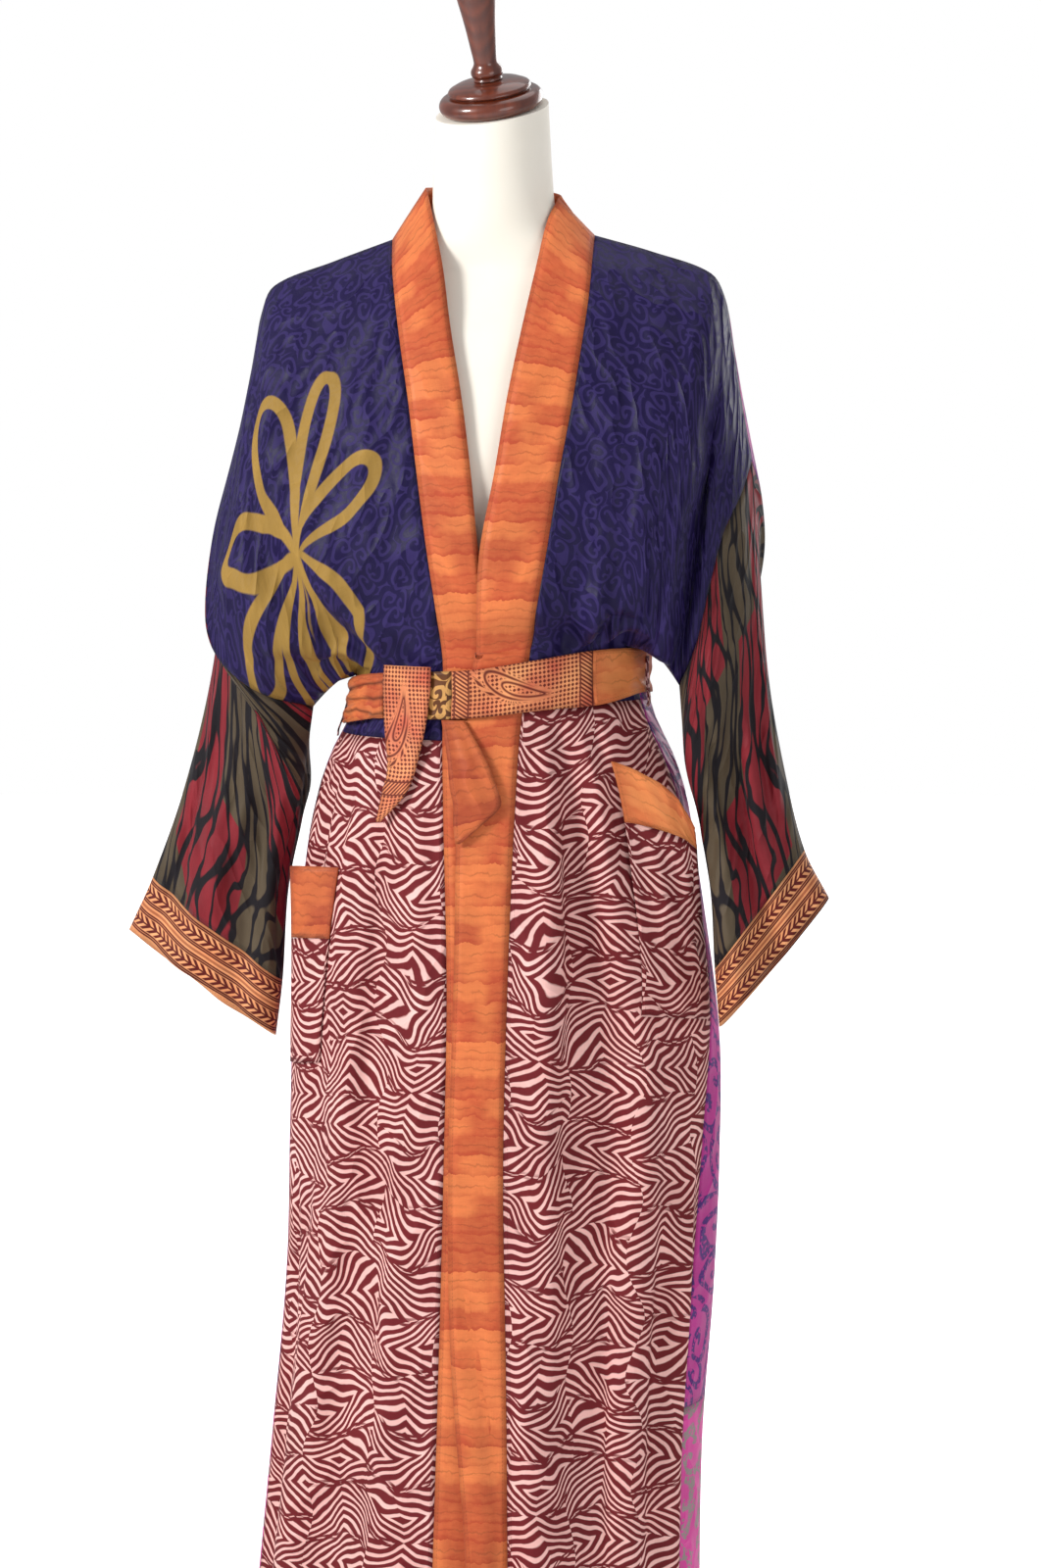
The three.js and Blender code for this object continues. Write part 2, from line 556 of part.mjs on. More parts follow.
/** Grid of a sleeve, one ring a row, the first ring being the armhole. */
function sleeveGrid(name, front, back) {
  const frontEdge = front.slice(0, ARM_ROWS + 1).map((r) => r.at(-1));
  const backEdge = back.slice(0, ARM_ROWS + 1).map((r) => (name === "right" ? r[0] : r.at(-1)));
  const armhole = [...frontEdge, ...backEdge.slice(1, -1).reverse()];
  const ringAt = (r) => armhole.map((_, i) => {
    const around = (2 * Math.PI * i) / armhole.length;
    const out = point(r.outX, 0, r.outZ);
    const inner = point(r.inX, r.inY, r.inZ);
    const middle = out.clone().add(inner).multiplyScalar(0.5);
    const inFront = Math.sin(around) > 0;
    const hang = inFront ? point(0, -r.front, -r.dropF) : point(0, r.back, -r.dropB);
    return middle
      .addScaledVector(out.sub(inner).multiplyScalar(0.5), Math.cos(around))
      .addScaledVector(hang, Math.abs(Math.sin(around)) ** 0.8);
  });
  const rings = [{ s: 0, ring: armhole }, ...SLEEVE[name].map((r) => ({ s: r.s, ring: ringAt(r) }))];
  const stations = [...steps(SLEEVE_ROWS, 0, CUFF_START), ...steps(CUFF_ROWS, CUFF_START, 1).slice(1)];
  return stations.map((s) => armhole.map((_, i) => {
    const track = rings.map(({ s: at, ring }) => ({ s: at, x: ring[i].x, y: ring[i].y, z: ring[i].z }));
    const place = toPoint(read(track, "s", s));
    for (const fold of SLEEVE_FOLDS[name]) {
      const away = i / armhole.length - fold.at;
      const front = fold.at < 0.5 ? -1 : 1;
      const size = fold.depth * rise(fold.from, fold.from + 0.3, s);
      place.y += front * size * Math.exp(-((away / fold.width) ** 2));
    }
    return place;
  }));
}

/** Grid behind the neck: the back neckline and the band's upper edge. */
function neckBandGrid(back, bands) {
  const lower = back[0].slice(FRONT_COLUMNS, FRONT_COLUMNS + NECK_COLUMNS + 1);
  const ends = [bands.right[0], bands.left[0]];
  const rows = [0, 0.5, 1].map((t, k) => lower.map((place, i) => {
    if (i === 0) return ends[0][k].clone();
    if (i === lower.length - 1) return ends[1][k].clone();
    const along = i / (lower.length - 1);
    const rim = point(
      -61 * Math.cos(Math.PI * along),
      -3 + 60 * Math.sin(Math.PI * along),
      mix(1422, 1412, along) + 8 * Math.sin(Math.PI * along),
    );
    return place.clone().lerp(rim, t).add(point(0, 2 * Math.sin(Math.PI * along) * t * (1 - t), 0));
  }));
  return rows.reverse();
}

const key = (p) => `${Math.round(p.x * 50)},${Math.round(p.y * 50)},${Math.round(p.z * 50)}`;

/** Cells of a grid as index quadruples that face outward. */
function cells(rows, wrap) {
  const list = [];
  const columns = rows[0].length;
  for (let j = 0; j < rows.length - 1; j += 1) {
    for (let i = 0; i < (wrap ? columns : columns - 1); i += 1) {
      const k = (i + 1) % columns;
      list.push([[j, i], [j, k], [j + 1, k], [j + 1, i]]);
    }
  }
  return list;
}

/** One cloth piece as a grid with a facing sign: 1 where rows run down and columns run to +X. */
class Cloth {
  constructor(name, rows, color, options = {}) {
    const usual = { wrap: false, facing: 1, thickness: CLOTH, roughness: 0.55, ease: 0 };
    Object.assign(this, { name, rows, color }, usual, options);
  }

  /** Adds this piece's face normals to a shared table of point normals. */
  gather(table) {
    for (const cell of cells(this.rows, this.wrap)) {
      const [a, b, c, d] = cell.map(([j, i]) => this.rows[j][i]);
      const normal = c.clone().sub(a).cross(b.clone().sub(d)).multiplyScalar(this.facing);
      for (const p of [a, b, c, d]) {
        const id = key(p);
        if (!table.has(id)) table.set(id, point(0, 0, 0));
        table.get(id).add(normal);
      }
    }
  }

  /** Closed wall mesh. Each edge draws back by half a seam, and by the ease at a sharp corner. */
  mesh(table) {
    const { rows, wrap, thickness, facing, ease } = this;
    const [height, width] = [rows.length, rows[0].length];
    const columnOf = (i) => (wrap ? (i + width) % width : THREE.MathUtils.clamp(i, 0, width - 1));
    const rowOf = (j) => THREE.MathUtils.clamp(j, 0, height - 1);
    const inset = (j, i) => {
      const here = rows[j][i];
      const shift = point(0, 0, 0);
      const square = (other, before, after) => {
        const along = after.clone().sub(before).normalize();
        const inward = other.clone().sub(here);
        shift.add(inward.addScaledVector(along, -inward.dot(along)).setLength(SEAM / 2 + ease));
      };
      const ends = [rows[j][columnOf(i - 1)], rows[j][columnOf(i + 1)]];
      const sides = [rows[rowOf(j - 1)][i], rows[rowOf(j + 1)][i]];
      if (j === 0) square(rows[1][i], ...ends);
      if (j === height - 1) square(rows[height - 2][i], ...ends);
      if (!wrap && i === 0) square(rows[j][1], ...sides);
      if (!wrap && i === width - 1) square(rows[j][width - 2], ...sides);
      return shift;
    };
    const outer = [];
    const inner = [];
    for (let j = 0; j < height; j += 1) {
      for (let i = 0; i < width; i += 1) {
        const normal = table.get(key(rows[j][i])).clone().normalize();
        const place = rows[j][i].clone().add(inset(j, i));
        outer.push(place);
        inner.push(place.clone().addScaledVector(normal, -thickness));
      }
    }
    return solid(this.name, outer, inner, width, height, wrap, facing, this.color, this.roughness);
  }
}

/** Closed solid between two grids of points. */
function solid(name, outer, inner, width, height, wrap, facing, color, roughness) {
  const count = outer.length;
  const faces = [];
  const quad = (a, b, c, d) => (facing > 0
    ? faces.push(a, d, c, a, c, b)
    : faces.push(a, b, c, a, c, d));
  const at = (j, i) => j * width + (i % width);
  const last = wrap ? width : width - 1;
  for (let j = 0; j < height - 1; j += 1) {
    for (let i = 0; i < last; i += 1) {
      quad(at(j, i), at(j, i + 1), at(j + 1, i + 1), at(j + 1, i));
      quad(count + at(j, i), count + at(j + 1, i), count + at(j + 1, i + 1), count + at(j, i + 1));
    }
  }
  for (let i = 0; i < last; i += 1) {
    quad(at(0, i), count + at(0, i), count + at(0, i + 1), at(0, i + 1));
    quad(at(height - 1, i), at(height - 1, i + 1), count + at(height - 1, i + 1), count + at(height - 1, i));
  }
  for (let j = 0; !wrap && j < height - 1; j += 1) {
    quad(at(j, 0), at(j + 1, 0), count + at(j + 1, 0), count + at(j, 0));
    quad(at(j, last), count + at(j, last), count + at(j + 1, last), at(j + 1, last));
  }
  const geometry = new THREE.BufferGeometry();
  const flat = [...outer, ...inner].flatMap((p) => [p.x, p.y, p.z]);
  geometry.setAttribute("position", new THREE.Float32BufferAttribute(flat, 3));
  geometry.setIndex(faces);
  return named(name, geometry, color, roughness);
}

function named(name, geometry, color, roughness, metalness = 0) {
  const material = new THREE.MeshStandardMaterial({ color, roughness, metalness });
  const mesh = new THREE.Mesh(geometry, material);
  mesh.name = name;
  return mesh;
}

/** The cloth that is sewn together edge to edge. */
function sewnCloth() {
  const fronts = { right: frontGrid("right"), left: frontGrid("left") };
  const back = backGrid();
  const bands = { right: bandGrid("right", fronts.right), left: bandGrid("left", fronts.left) };
  const waist = UPPER_ROWS.length - 1 + WAIST_ROWS;
  const backSeam = back.length - 4;
  const pieces = [];
  for (const name of ["right", "left"]) {
    const facing = SIDES[name].sign;
    pieces.push(new Cloth(`bodice_front_${name}`, fronts[name].slice(0, waist + 1), "#2f2a66", { facing }));
    pieces.push(new Cloth(`skirt_front_${name}`, fronts[name].slice(waist), "#b0646a", { facing }));
    pieces.push(new Cloth(`band_${name}`, bands[name], "#d8743c", { facing: -facing }));
    const sleeve = sleeveGrid(name, fronts[name], back);
    pieces.push(new Cloth(`sleeve_${name}`, sleeve.slice(0, SLEEVE_ROWS + 1), "#7a3038", {
      wrap: true, facing: -facing, ease: CORNER_EASE,
    }));
    pieces.push(new Cloth(`cuff_${name}`, sleeve.slice(SLEEVE_ROWS), "#e0955a", {
      wrap: true, facing: -facing,
    }));
  }
  pieces.push(new Cloth("bodice_back", back.slice(0, waist + 1), "#b5348e", { facing: -1 }));
  pieces.push(new Cloth("skirt_back_upper", back.slice(waist, backSeam + 1), "#b5348e", { facing: -1 }));
  pieces.push(new Cloth("skirt_back_lower", back.slice(backSeam), "#d8429a", { facing: -1 }));
  pieces.push(new Cloth("band_neck", neckBandGrid(back, bands), "#d8743c", {
    facing: -1, ease: CORNER_EASE / 2,
  }));
  return { pieces, fronts };
}

/** Point of a grid between its rows and columns, moved out along the facet. */
function onGrid(rows, column, line, facing, out) {
  const j = Math.min(Math.floor(line), rows.length - 2);
  const i = Math.min(Math.floor(column), rows[0].length - 2);
  const [a, b, c, d] = [rows[j][i], rows[j][i + 1], rows[j + 1][i + 1], rows[j + 1][i]];
  const normal = c.clone().sub(a).cross(b.clone().sub(d)).multiplyScalar(facing).normalize();
  const place = a.clone().lerp(b, column - i).lerp(d.clone().lerp(c, column - i), line - j);
  return place.addScaledVector(normal, out);
}

/** A patch pocket and its top strip, laid on the skirt panel and standing open at the mouth. */
function pocket(name, skirt) {
  const p = POCKETS[name];
  const { sign, waistZ } = SIDES[name];
  const lineAt = (z) => ((waistZ - z) / (waistZ - HEM_Z)) * SKIRT_ROWS;
  const levels = (u) => [
    p.topIn - (p.topIn - p.topOut) * u ** 1.6,
    p.stripIn - (p.stripIn - p.stripOut) * u ** 1.4,
    p.bottomIn - (p.bottomIn - p.bottomOut) * u,
  ];
  const across = steps(POCKET_COLUMNS);
  const row = (level, part) => across.map((u) => {
    const [top, strip, bottom] = levels(u);
    const z = level === 0 ? mix(top, strip, part) : mix(strip, bottom, part);
    const down = (top - z) / (top - bottom);
    const column = mix(mix(p.inner, p.innerLow, down), mix(p.outer, p.outerLow, down ** 0.7), u);
    const fullness = POCKET_FULLNESS * Math.sqrt(Math.sin(Math.PI * u));
    const lift = CLOTH + POCKET_CLEARANCE + fullness + p.gape * rise(0.05, 0.75, u) * (1 - down) ** 2.2;
    return onGrid(skirt, column, lineAt(z), sign, lift);
  });
  const strip = [row(0, 0), row(0, 0.5), row(0, 1)];
  const body = [0, 0.2, 0.45, 0.72, 1].map((part) => row(1, part));
  return [
    new Cloth(`pocket_facing_${name}`, strip, "#df8a4e", { facing: sign }),
    new Cloth(`pocket_${name}`, body, "#b0646a", { facing: sign }),
  ];
}

/** How far the layers of the two bands raise the belt in front. */
const beltLift = (angle) => BAND_LIFT * rise(-24, -8, angle) * (1 - rise(22, 40, angle));

/** One stretch of the belt, gathered where it is the pleated end. */
function beltPiece({ name, from, to, step, color }) {
  const count = Math.round((to - from) / step);
  const rows = steps(2).map((t, k) => steps(count, from, to).map((angle, i) => {
    const turn = angle > 180 ? angle - 360 : angle;
    const line = read(BELT_LINE, "angle", angle > 250 ? angle - 360 : angle);
    const inside = i > 0 && i < count;
    const pleat = name === "belt_pleats" && inside ? 2.5 * ((i + k) % 2) : 0;
    const z = line.middle + (0.5 - t) * line.width;
    return bodyPoint(turn, z, beltLift(turn) + BELT_THICKNESS + BELT_CLEARANCE + pleat);
  }));
  return new Cloth(name, rows, color, { facing: 1, thickness: BELT_THICKNESS });
}

/** A strip hanging in front of the skirt, given by its middle, half width and distance. */
function tail(name, table, color) {
  const rows = table.map(({ z, x, half, out }) => steps(TAIL_COLUMNS, -1, 1).map((t) => {
    const angle = frontAngle(x + t * half, z);
    return bodyPoint(angle, z, beltLift(angle) + out);
  }));
  return new Cloth(name, rows, color, { facing: 1, thickness: 2 });
}

/** The little strap that holds the belt at a side seam. */
function beltLoop(name) {
  const { angle, top } = LOOPS[name];
  const line = read(BELT_LINE, "angle", angle);
  const low = -line.width / 2;
  const over = BELT_THICKNESS + BELT_CLEARANCE + LAYER + CLOTH;
  const track = [
    { up: top, out: over },
    { up: low - 4, out: over },
    { up: low - 13, out: CLOTH + LAYER + 0.4 },
  ];
  const rows = track.map(({ up, out }) => [-LOOP_HALF, LOOP_HALF].map((turn) =>
    bodyPoint(angle + turn, line.middle + up, out)));
  return new Cloth(`belt_loop_${name}`, rows, "#b0646a", { facing: 1 });
}

/** The pieces that lie on others, in sets that are sewn together. */
function laidOn(fronts) {
  const waist = UPPER_ROWS.length - 1 + WAIST_ROWS;
  return [
    pocket("right", fronts.right.slice(waist)),
    pocket("left", fronts.left.slice(waist)),
    BELT_PIECES.map(beltPiece),
    [tail("belt_tail_print", TAIL_PRINT, "#d9805a")],
    [tail("belt_tail_plain", TAIL_PLAIN, "#d8743c")],
    [beltLoop("right")],
    [beltLoop("left")],
  ];
}

/** The dress form's body: closed rings, tilted toward the neck. */
function formBody() {
  const heights = [
    ...steps(13, FORM[0].z, SHOULDER_LOW),
    ...steps(14, SHOULDER_LOW, NECK_FOOT).slice(1),
    ...steps(4, NECK_FOOT, FORM.at(-1).z).slice(1),
  ];
  const positions = [];
  const faces = [];
  for (const z of heights) {
    const r = read(FORM, "z", z);
    const roll = (NECK_ROLL * r.tilt) / FORM.at(-1).tilt;
    const turn = new THREE.Euler(radians(r.tilt), radians(roll), 0);
    const lean = new THREE.Matrix4().makeRotationFromEuler(turn);
    for (let i = 0; i < FORM_SIDES; i += 1) {
      const around = (2 * Math.PI * i) / FORM_SIDES;
      const [s, c] = [Math.sin(around), Math.cos(around)];
      const p = point(r.half * s, -(c > 0 ? r.front : r.back) * c, 0).applyMatrix4(lean);
      positions.push(r.x + p.x, r.y + p.y, z + p.z);
    }
  }
  const top = heights.length - 1;
  const low = read(FORM, "z", heights[0]);
  const high = read(FORM, "z", heights[top]);
  positions.push(low.x, low.y, heights[0], high.x, high.y, heights[top]);
  const foot = heights.length * FORM_SIDES;
  for (let i = 0; i < FORM_SIDES; i += 1) {
    const k = (i + 1) % FORM_SIDES;
    faces.push(foot, k, i, foot + 1, top * FORM_SIDES + i, top * FORM_SIDES + k);
    for (let j = 0; j < top; j += 1) {
      const [a, b] = [j * FORM_SIDES + i, j * FORM_SIDES + k];
      faces.push(a, b, b + FORM_SIDES, a, b + FORM_SIDES, a + FORM_SIDES);
    }
  }
  const geometry = new THREE.BufferGeometry();
  geometry.setAttribute("position", new THREE.Float32BufferAttribute(positions, 3));
  geometry.setIndex(faces);
  return named("form_torso", geometry, "#f4efdf", 0.9);
}

/** Turned piece from a profile of radius and height pairs, along +Z. */
function turned(name, profile, sides, color, roughness) {
  const geometry = new THREE.LatheGeometry(profile.map(([r, h]) => new THREE.Vector2(r, h)), sides);
  geometry.rotateX(Math.PI / 2);
  return named(name, geometry, color, roughness);
}

/** The wooden cap and finial on the neck, in the frame of the tilted neck plate. */
function neckTop() {
  const group = new THREE.Group();
  const plate = FORM.at(-1);
  group.position.set(plate.x, plate.y, plate.z + SEAM);
  group.rotation.set(radians(plate.tilt), radians(NECK_ROLL), 0);
  const rim = steps(6, -90, 90).map((a) => [
    CAP_RADIUS - 8 + 8 * Math.cos(radians(a)),
    8 + 8 * Math.sin(radians(a)),
  ]);
  const cap = [[0, 0], ...rim, [34, 16.5], [36.5, 18.5], [35.5, 21.5], [29, 24.5], [20, 26.5], [0, 27]];
  group.add(turned("form_cap", cap, 40, "#5f2415", 0.25));
  const finial = [
    [0, 27.3], [13, 27.3], [12, 29.5], [14, 32], [14, 36], [11.5, 40], [10.5, 43], [11.5, 54],
    [14, 76], [17, 96], [19.5, 110], [21.5, 113], [21.5, 118], [19.5, 124], [14, 132], [7, 137], [0, 138],
  ];
  group.add(turned("form_finial", finial, 28, "#5f2415", 0.25));
  return group;
}

/** Wooden pole and round foot under the form. */
function stand() {
  const under = FORM[0].z - SEAM;
  const foot = [
    [0, 0], [BASE_RADIUS, 0], [BASE_RADIUS, BASE_HEIGHT - 8], [BASE_RADIUS - 8, BASE_HEIGHT],
    [40, BASE_HEIGHT + 6], [24, BASE_HEIGHT + 20], [0, BASE_HEIGHT + 20],
  ];
  const r = STAND_POLE_RADIUS;
  const start = BASE_HEIGHT + 20 + SEAM;
  const pole = [[0, start], [r, start], [r, under - 14], [r + 16, under - 8], [r + 16, under], [0, under]];
  return [
    turned("stand_base", foot, 48, "#5f2415", 0.3),
    turned("stand_pole", pole, 28, "#5f2415", 0.3),
  ];
}

const group = new THREE.Group();
const { pieces, fronts } = sewnCloth();
const normals = new Map();
for (const piece of pieces) piece.gather(normals);
for (const piece of pieces) group.add(piece.mesh(normals));
for (const set of laidOn(fronts)) {
  const own = new Map();
  for (const piece of set) piece.gather(own);
  for (const piece of set) group.add(piece.mesh(own));
}
group.add(formBody(), neckTop(), ...stand());

export default group;
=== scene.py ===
"""A patchwork kimono duster, belted, on a limbless dress form.

The cloth is drawn from the sizes of its own pattern, in millimetres, and made in metres in the
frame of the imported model: +Z up, the front towards -Y, the wearer's left towards +X.
"""
import logging
import math
from abc import ABC, abstractmethod
from dataclasses import dataclass, field, replace
from enum import Enum
from functools import lru_cache
from itertools import chain
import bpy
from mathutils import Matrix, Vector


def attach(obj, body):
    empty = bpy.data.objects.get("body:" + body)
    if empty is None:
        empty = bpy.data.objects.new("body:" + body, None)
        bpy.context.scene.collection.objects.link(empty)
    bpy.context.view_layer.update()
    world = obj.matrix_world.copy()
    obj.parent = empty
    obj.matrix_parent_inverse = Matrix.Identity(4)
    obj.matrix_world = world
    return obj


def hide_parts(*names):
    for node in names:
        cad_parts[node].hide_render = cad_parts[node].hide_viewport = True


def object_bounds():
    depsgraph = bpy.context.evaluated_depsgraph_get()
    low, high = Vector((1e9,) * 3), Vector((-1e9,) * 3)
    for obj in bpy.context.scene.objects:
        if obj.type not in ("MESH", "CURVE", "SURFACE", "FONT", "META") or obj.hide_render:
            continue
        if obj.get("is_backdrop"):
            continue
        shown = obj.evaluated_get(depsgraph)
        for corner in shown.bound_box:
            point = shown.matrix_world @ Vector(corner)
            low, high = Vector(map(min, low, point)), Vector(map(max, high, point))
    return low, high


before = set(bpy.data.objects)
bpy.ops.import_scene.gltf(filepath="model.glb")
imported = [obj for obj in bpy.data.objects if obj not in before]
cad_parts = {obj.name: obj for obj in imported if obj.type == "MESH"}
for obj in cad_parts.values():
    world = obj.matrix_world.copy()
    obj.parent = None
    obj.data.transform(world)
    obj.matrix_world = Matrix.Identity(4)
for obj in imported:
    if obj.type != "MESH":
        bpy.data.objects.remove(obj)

from types import SimpleNamespace
from typing import Callable, Iterable, Iterator, Sequence

import bpy
from mathutils import Euler, Matrix, Vector

log = logging.getLogger("kimono_duster")

MM = 0.001
FINE = 5  # visible cloth has this many rows and columns for each one of the pattern
BAND_LIFT = 3.0  # the left front's edge stands this far out over the right one
HEM_Z = 105.0
FLUTE_TOP = 985.0  # the skirt's long folds lean over from this height down
SIDE_Z = 1000.0  # the side seams reach the belt at the angle that they have at this height
OVER_BELT = 6.0  # the line just above the belt is this far over its top edge
NECK_HALF = 91.0  # half the neckline's width, and its height and bow behind the neck
NECK_Z = 1378.0
NECK_RISE = 12.0
NECK_DEPTH = 66.0
RIM_HALF = 61.0  # half the width of the band's upper edge, and its depth and bow
RIM_DEPTH = 60.0
RIM_RISE = 8.0
FLOWER = (-156.0, 1104.0)  # x and z in front of the flower's middle
FRONT_COLUMNS = 10 * FINE
NECK_COLUMNS = 6 * FINE
ARM_ROWS = 10 * FINE
SIDE_ROWS = 3 * FINE
WAIST_ROWS = 3 * FINE
SKIRT_ROWS = 11 * FINE
HEM_ROWS = 3 * FINE  # of these, the rows of the back's lower part
BAND_COLUMNS = 6
HALF_SEAM = 0.15  # each piece draws back this far from its seam
ARM_END = ARM_ROWS / (ARM_ROWS + SIDE_ROWS)

Grid = list[list[Vector]]


class Side(Enum):
    """The wearer's right and left."""

    RIGHT = "right"
    LEFT = "left"

    @property
    def sign(self) -> int:
        """The side's direction along X."""
        return 1 if self is Side.LEFT else -1

    @property
    def waist(self) -> float:
        """Height of the seam between the bodice and the skirt."""
        return 972.0 if self is Side.LEFT else 940.0


class Held(Enum):
    """How a cut of cloth is held."""

    HUNG = "hung"
    GATHERED = "gathered"
    FOLDED = "folded"


class Table:
    """A short table of named columns, read as smooth curves along its first column."""

    def __init__(self, columns: str, *rows: tuple[float, ...]) -> None:
        """Keeps the column names and the rows."""
        self.columns = columns.split()
        self.rows = rows

    @lru_cache(maxsize=60000)
    def at(self, value: float) -> SimpleNamespace:
        """Reads every column at one value of the first.

        Args:
            value: Place along the first column. Past either end the end row holds.

        Returns:
            One attribute for each column.
        """
        rows, last = self.rows, len(self.rows) - 1
        i = 0
        while i < last - 1 and value > rows[i + 1][0]:
            i += 1
        a, b = rows[i], rows[i + 1]
        before, after = rows[max(i - 1, 0)], rows[min(i + 2, last)]
        span = b[0] - a[0]
        t = min(max((value - a[0]) / span, 0.0), 1.0)
        start, start_slope = 2 * t**3 - 3 * t**2 + 1, t**3 - 2 * t**2 + t
        end, end_slope = 3 * t**2 - 2 * t**3, t**3 - t**2
        found = {}
        for k, name in enumerate(self.columns):
            slope_a = span * (b[k] - before[k]) / (b[0] - before[0])
            slope_b = span * (after[k] - a[k]) / (after[0] - a[0])
            found[name] = (
                start * a[k] + start_slope * slope_a + end * b[k] + end_slope * slope_b
            )
        return SimpleNamespace(**found)

    def point(self, value: float) -> Vector:
        """Reads the columns x, y and z as a point."""
        row = self.at(value)
        return Vector((row.x, getattr(row, "y", 0.0), row.z))


# Half widths and depths of the garment round the body, and the angles of its side seams.
BODY = Table(
    "z left right front back side_left side_right",
    (105, 190, 224, 141, 132, 68, 77),
    (300, 192, 204, 137, 130, 68, 77),
    (450, 202, 190, 134, 128, 68, 77),
    (590, 206, 186, 131, 126, 72, 77),
    (720, 199, 181, 127, 121, 83, 77),
    (840, 179, 168, 123, 111, 84, 77),
    (890, 169, 157, 119, 101, 82, 77),
    (925, 158, 144, 116, 92, 79, 77),
    (950, 147, 131, 113, 86, 77, 77),
    (985, 139, 124, 111, 83, 76, 77),
    (1030, 140, 124, 114, 84, 76, 77),
)


@dataclass(frozen=True)
class Flute:
    """One long fold of the skirt, by its angle at the waist and at the hem."""

    top: float
    hem: float
    depth: float
    width: float
    start: float


FLUTES = (
    Flute(31, 41, -15, 6.5, 985),
    Flute(44, 52, 7, 6, 900),
    Flute(20, 22, 5, 5, 930),
    Flute(58, 60, 6, 5, 660),
    Flute(-26, -52, 9, 6, 900),
    Flute(-17, -30, -8, 7, 860),
    Flute(-44, -66, -6, 7, 800),
    Flute(112, 106, -10, 8, 930),
    Flute(132, 128, 9, 8, 900),
    Flute(155, 152, -12, 8, 940),
    Flute(178, 180, 9, 9, 900),
    Flute(204, 207, -11, 8, 930),
    Flute(228, 233, 8, 8, 880),
    Flute(250, 254, -9, 8, 900),
)

# The band's seam and free edge, from the neck (0) to the belt (1).
FRONT_EDGE = {
    Side.RIGHT: Table(
        "t seam_x seam_y seam_z free_x free_y free_z",
        (0, -91, 0, 1377, -60, -3, 1422),
        (0.09, -84, -36, 1352, -50, -24, 1396),
        (0.19, -76, -63, 1320, -36, -50, 1352),
        (0.3, -67, -84, 1280, -24, -77, 1298),
        (0.42, -57, -101, 1233, -10, -101, 1238),
        (0.57, -47, -115, 1172, 1, -116, 1172),
        (0.73, -37, -123, 1107, 9, -125, 1107),
        (0.88, -29, -121, 1052, 18, -120, 1052),
        (1, -25, -112, 1010, 24, -112, 1012),
    ),
    Side.LEFT: Table(
        "t seam_x seam_y seam_z free_x free_y free_z",
        (0, 91, 0, 1379, 59, -3, 1412),
        (0.09, 94, -36, 1354, 52, -24, 1390),
        (0.19, 95, -63, 1322, 46, -52, 1346),
        (0.3, 92, -84, 1280, 39, -80, 1296),
        (0.42, 87, -101, 1233, 31, -104, 1240),
        (0.57, 78, -116, 1172, 22, -119, 1173),
        (0.73, 69, -126, 1107, 11, -129, 1107),
        (0.88, 60, -127, 1055, 8, -130, 1053),
        (1, 51, -114, 1020, 5, -119, 1012),
    ),
}

# The bands' edges below the belt, by height.
LOW_EDGE = Table(
    "z right_seam right_free left_seam left_free",
    (105, -33, 20, 38, 10),
    (212, -30, 26, 37, 4),
    (391, -25, 28, 35, -13),
    (563, -21, 28, 32, -16),
    (733, -19, 28, 35, -12),
    (937, -25, 28, 42, -9),
    (972, -25, 26, 45, -4),
    (1020, -25, 24, 51, 5),
)

# The fold line over each shoulder, from the neck to the top of the sleeve.
SHOULDER = {
    Side.RIGHT: Table(
        "t x z",
        (0, -91, 1377),
        (0.2, -145, 1358),
        (0.42, -199, 1337),
        (0.53, -211, 1312),
        (0.66, -217, 1279),
        (0.82, -224, 1238),
        (1, -233, 1196),
    ),
    Side.LEFT: Table(
        "t x z",
        (0, 91, 1379),
        (0.2, 143, 1364),
        (0.4, 194, 1345),
        (0.5, 207, 1322),
        (0.64, 213, 1288),
        (0.82, 221, 1238),
        (1, 231, 1181),
    ),
}

# The armhole seams, from the top of the sleeve to the underarm.
ARMHOLE = {
    (Side.RIGHT, "front"): Table(
        "t x y z",
        (0, -233, 0, 1196),
        (0.12, -238, -22, 1166),
        (0.3, -246, -44, 1115),
        (0.5, -251, -54, 1055),
        (0.64, -246, -58, 1020),
        (0.77, -226, -64, 994),
        (0.9, -194, -60, 973),
        (1, -158, -30, 962),
    ),
    (Side.RIGHT, "back"): Table(
        "t x y z",
        (0, -233, 0, 1196),
        (0.15, -238, 22, 1165),
        (0.4, -242, 42, 1105),
        (0.62, -232, 50, 1045),
        (0.82, -205, 40, 996),
        (1, -158, -30, 962),
    ),
    (Side.LEFT, "front"): Table(
        "t x y z",
        (0, 231, 0, 1181),
        (0.18, 225, -32, 1152),
        (0.38, 212, -54, 1118),
        (0.58, 202, -64, 1075),
        (0.8, 190, -62, 1024),
        (1, 172, -35, 985),
    ),
    (Side.LEFT, "back"): Table(
        "t x y z",
        (0, 231, 0, 1181),
        (0.2, 238, 22, 1148),
        (0.45, 238, 42, 1095),
        (0.7, 223, 46, 1036),
        (0.86, 203, 25, 1004),
        (1, 172, -35, 985),
    ),
}

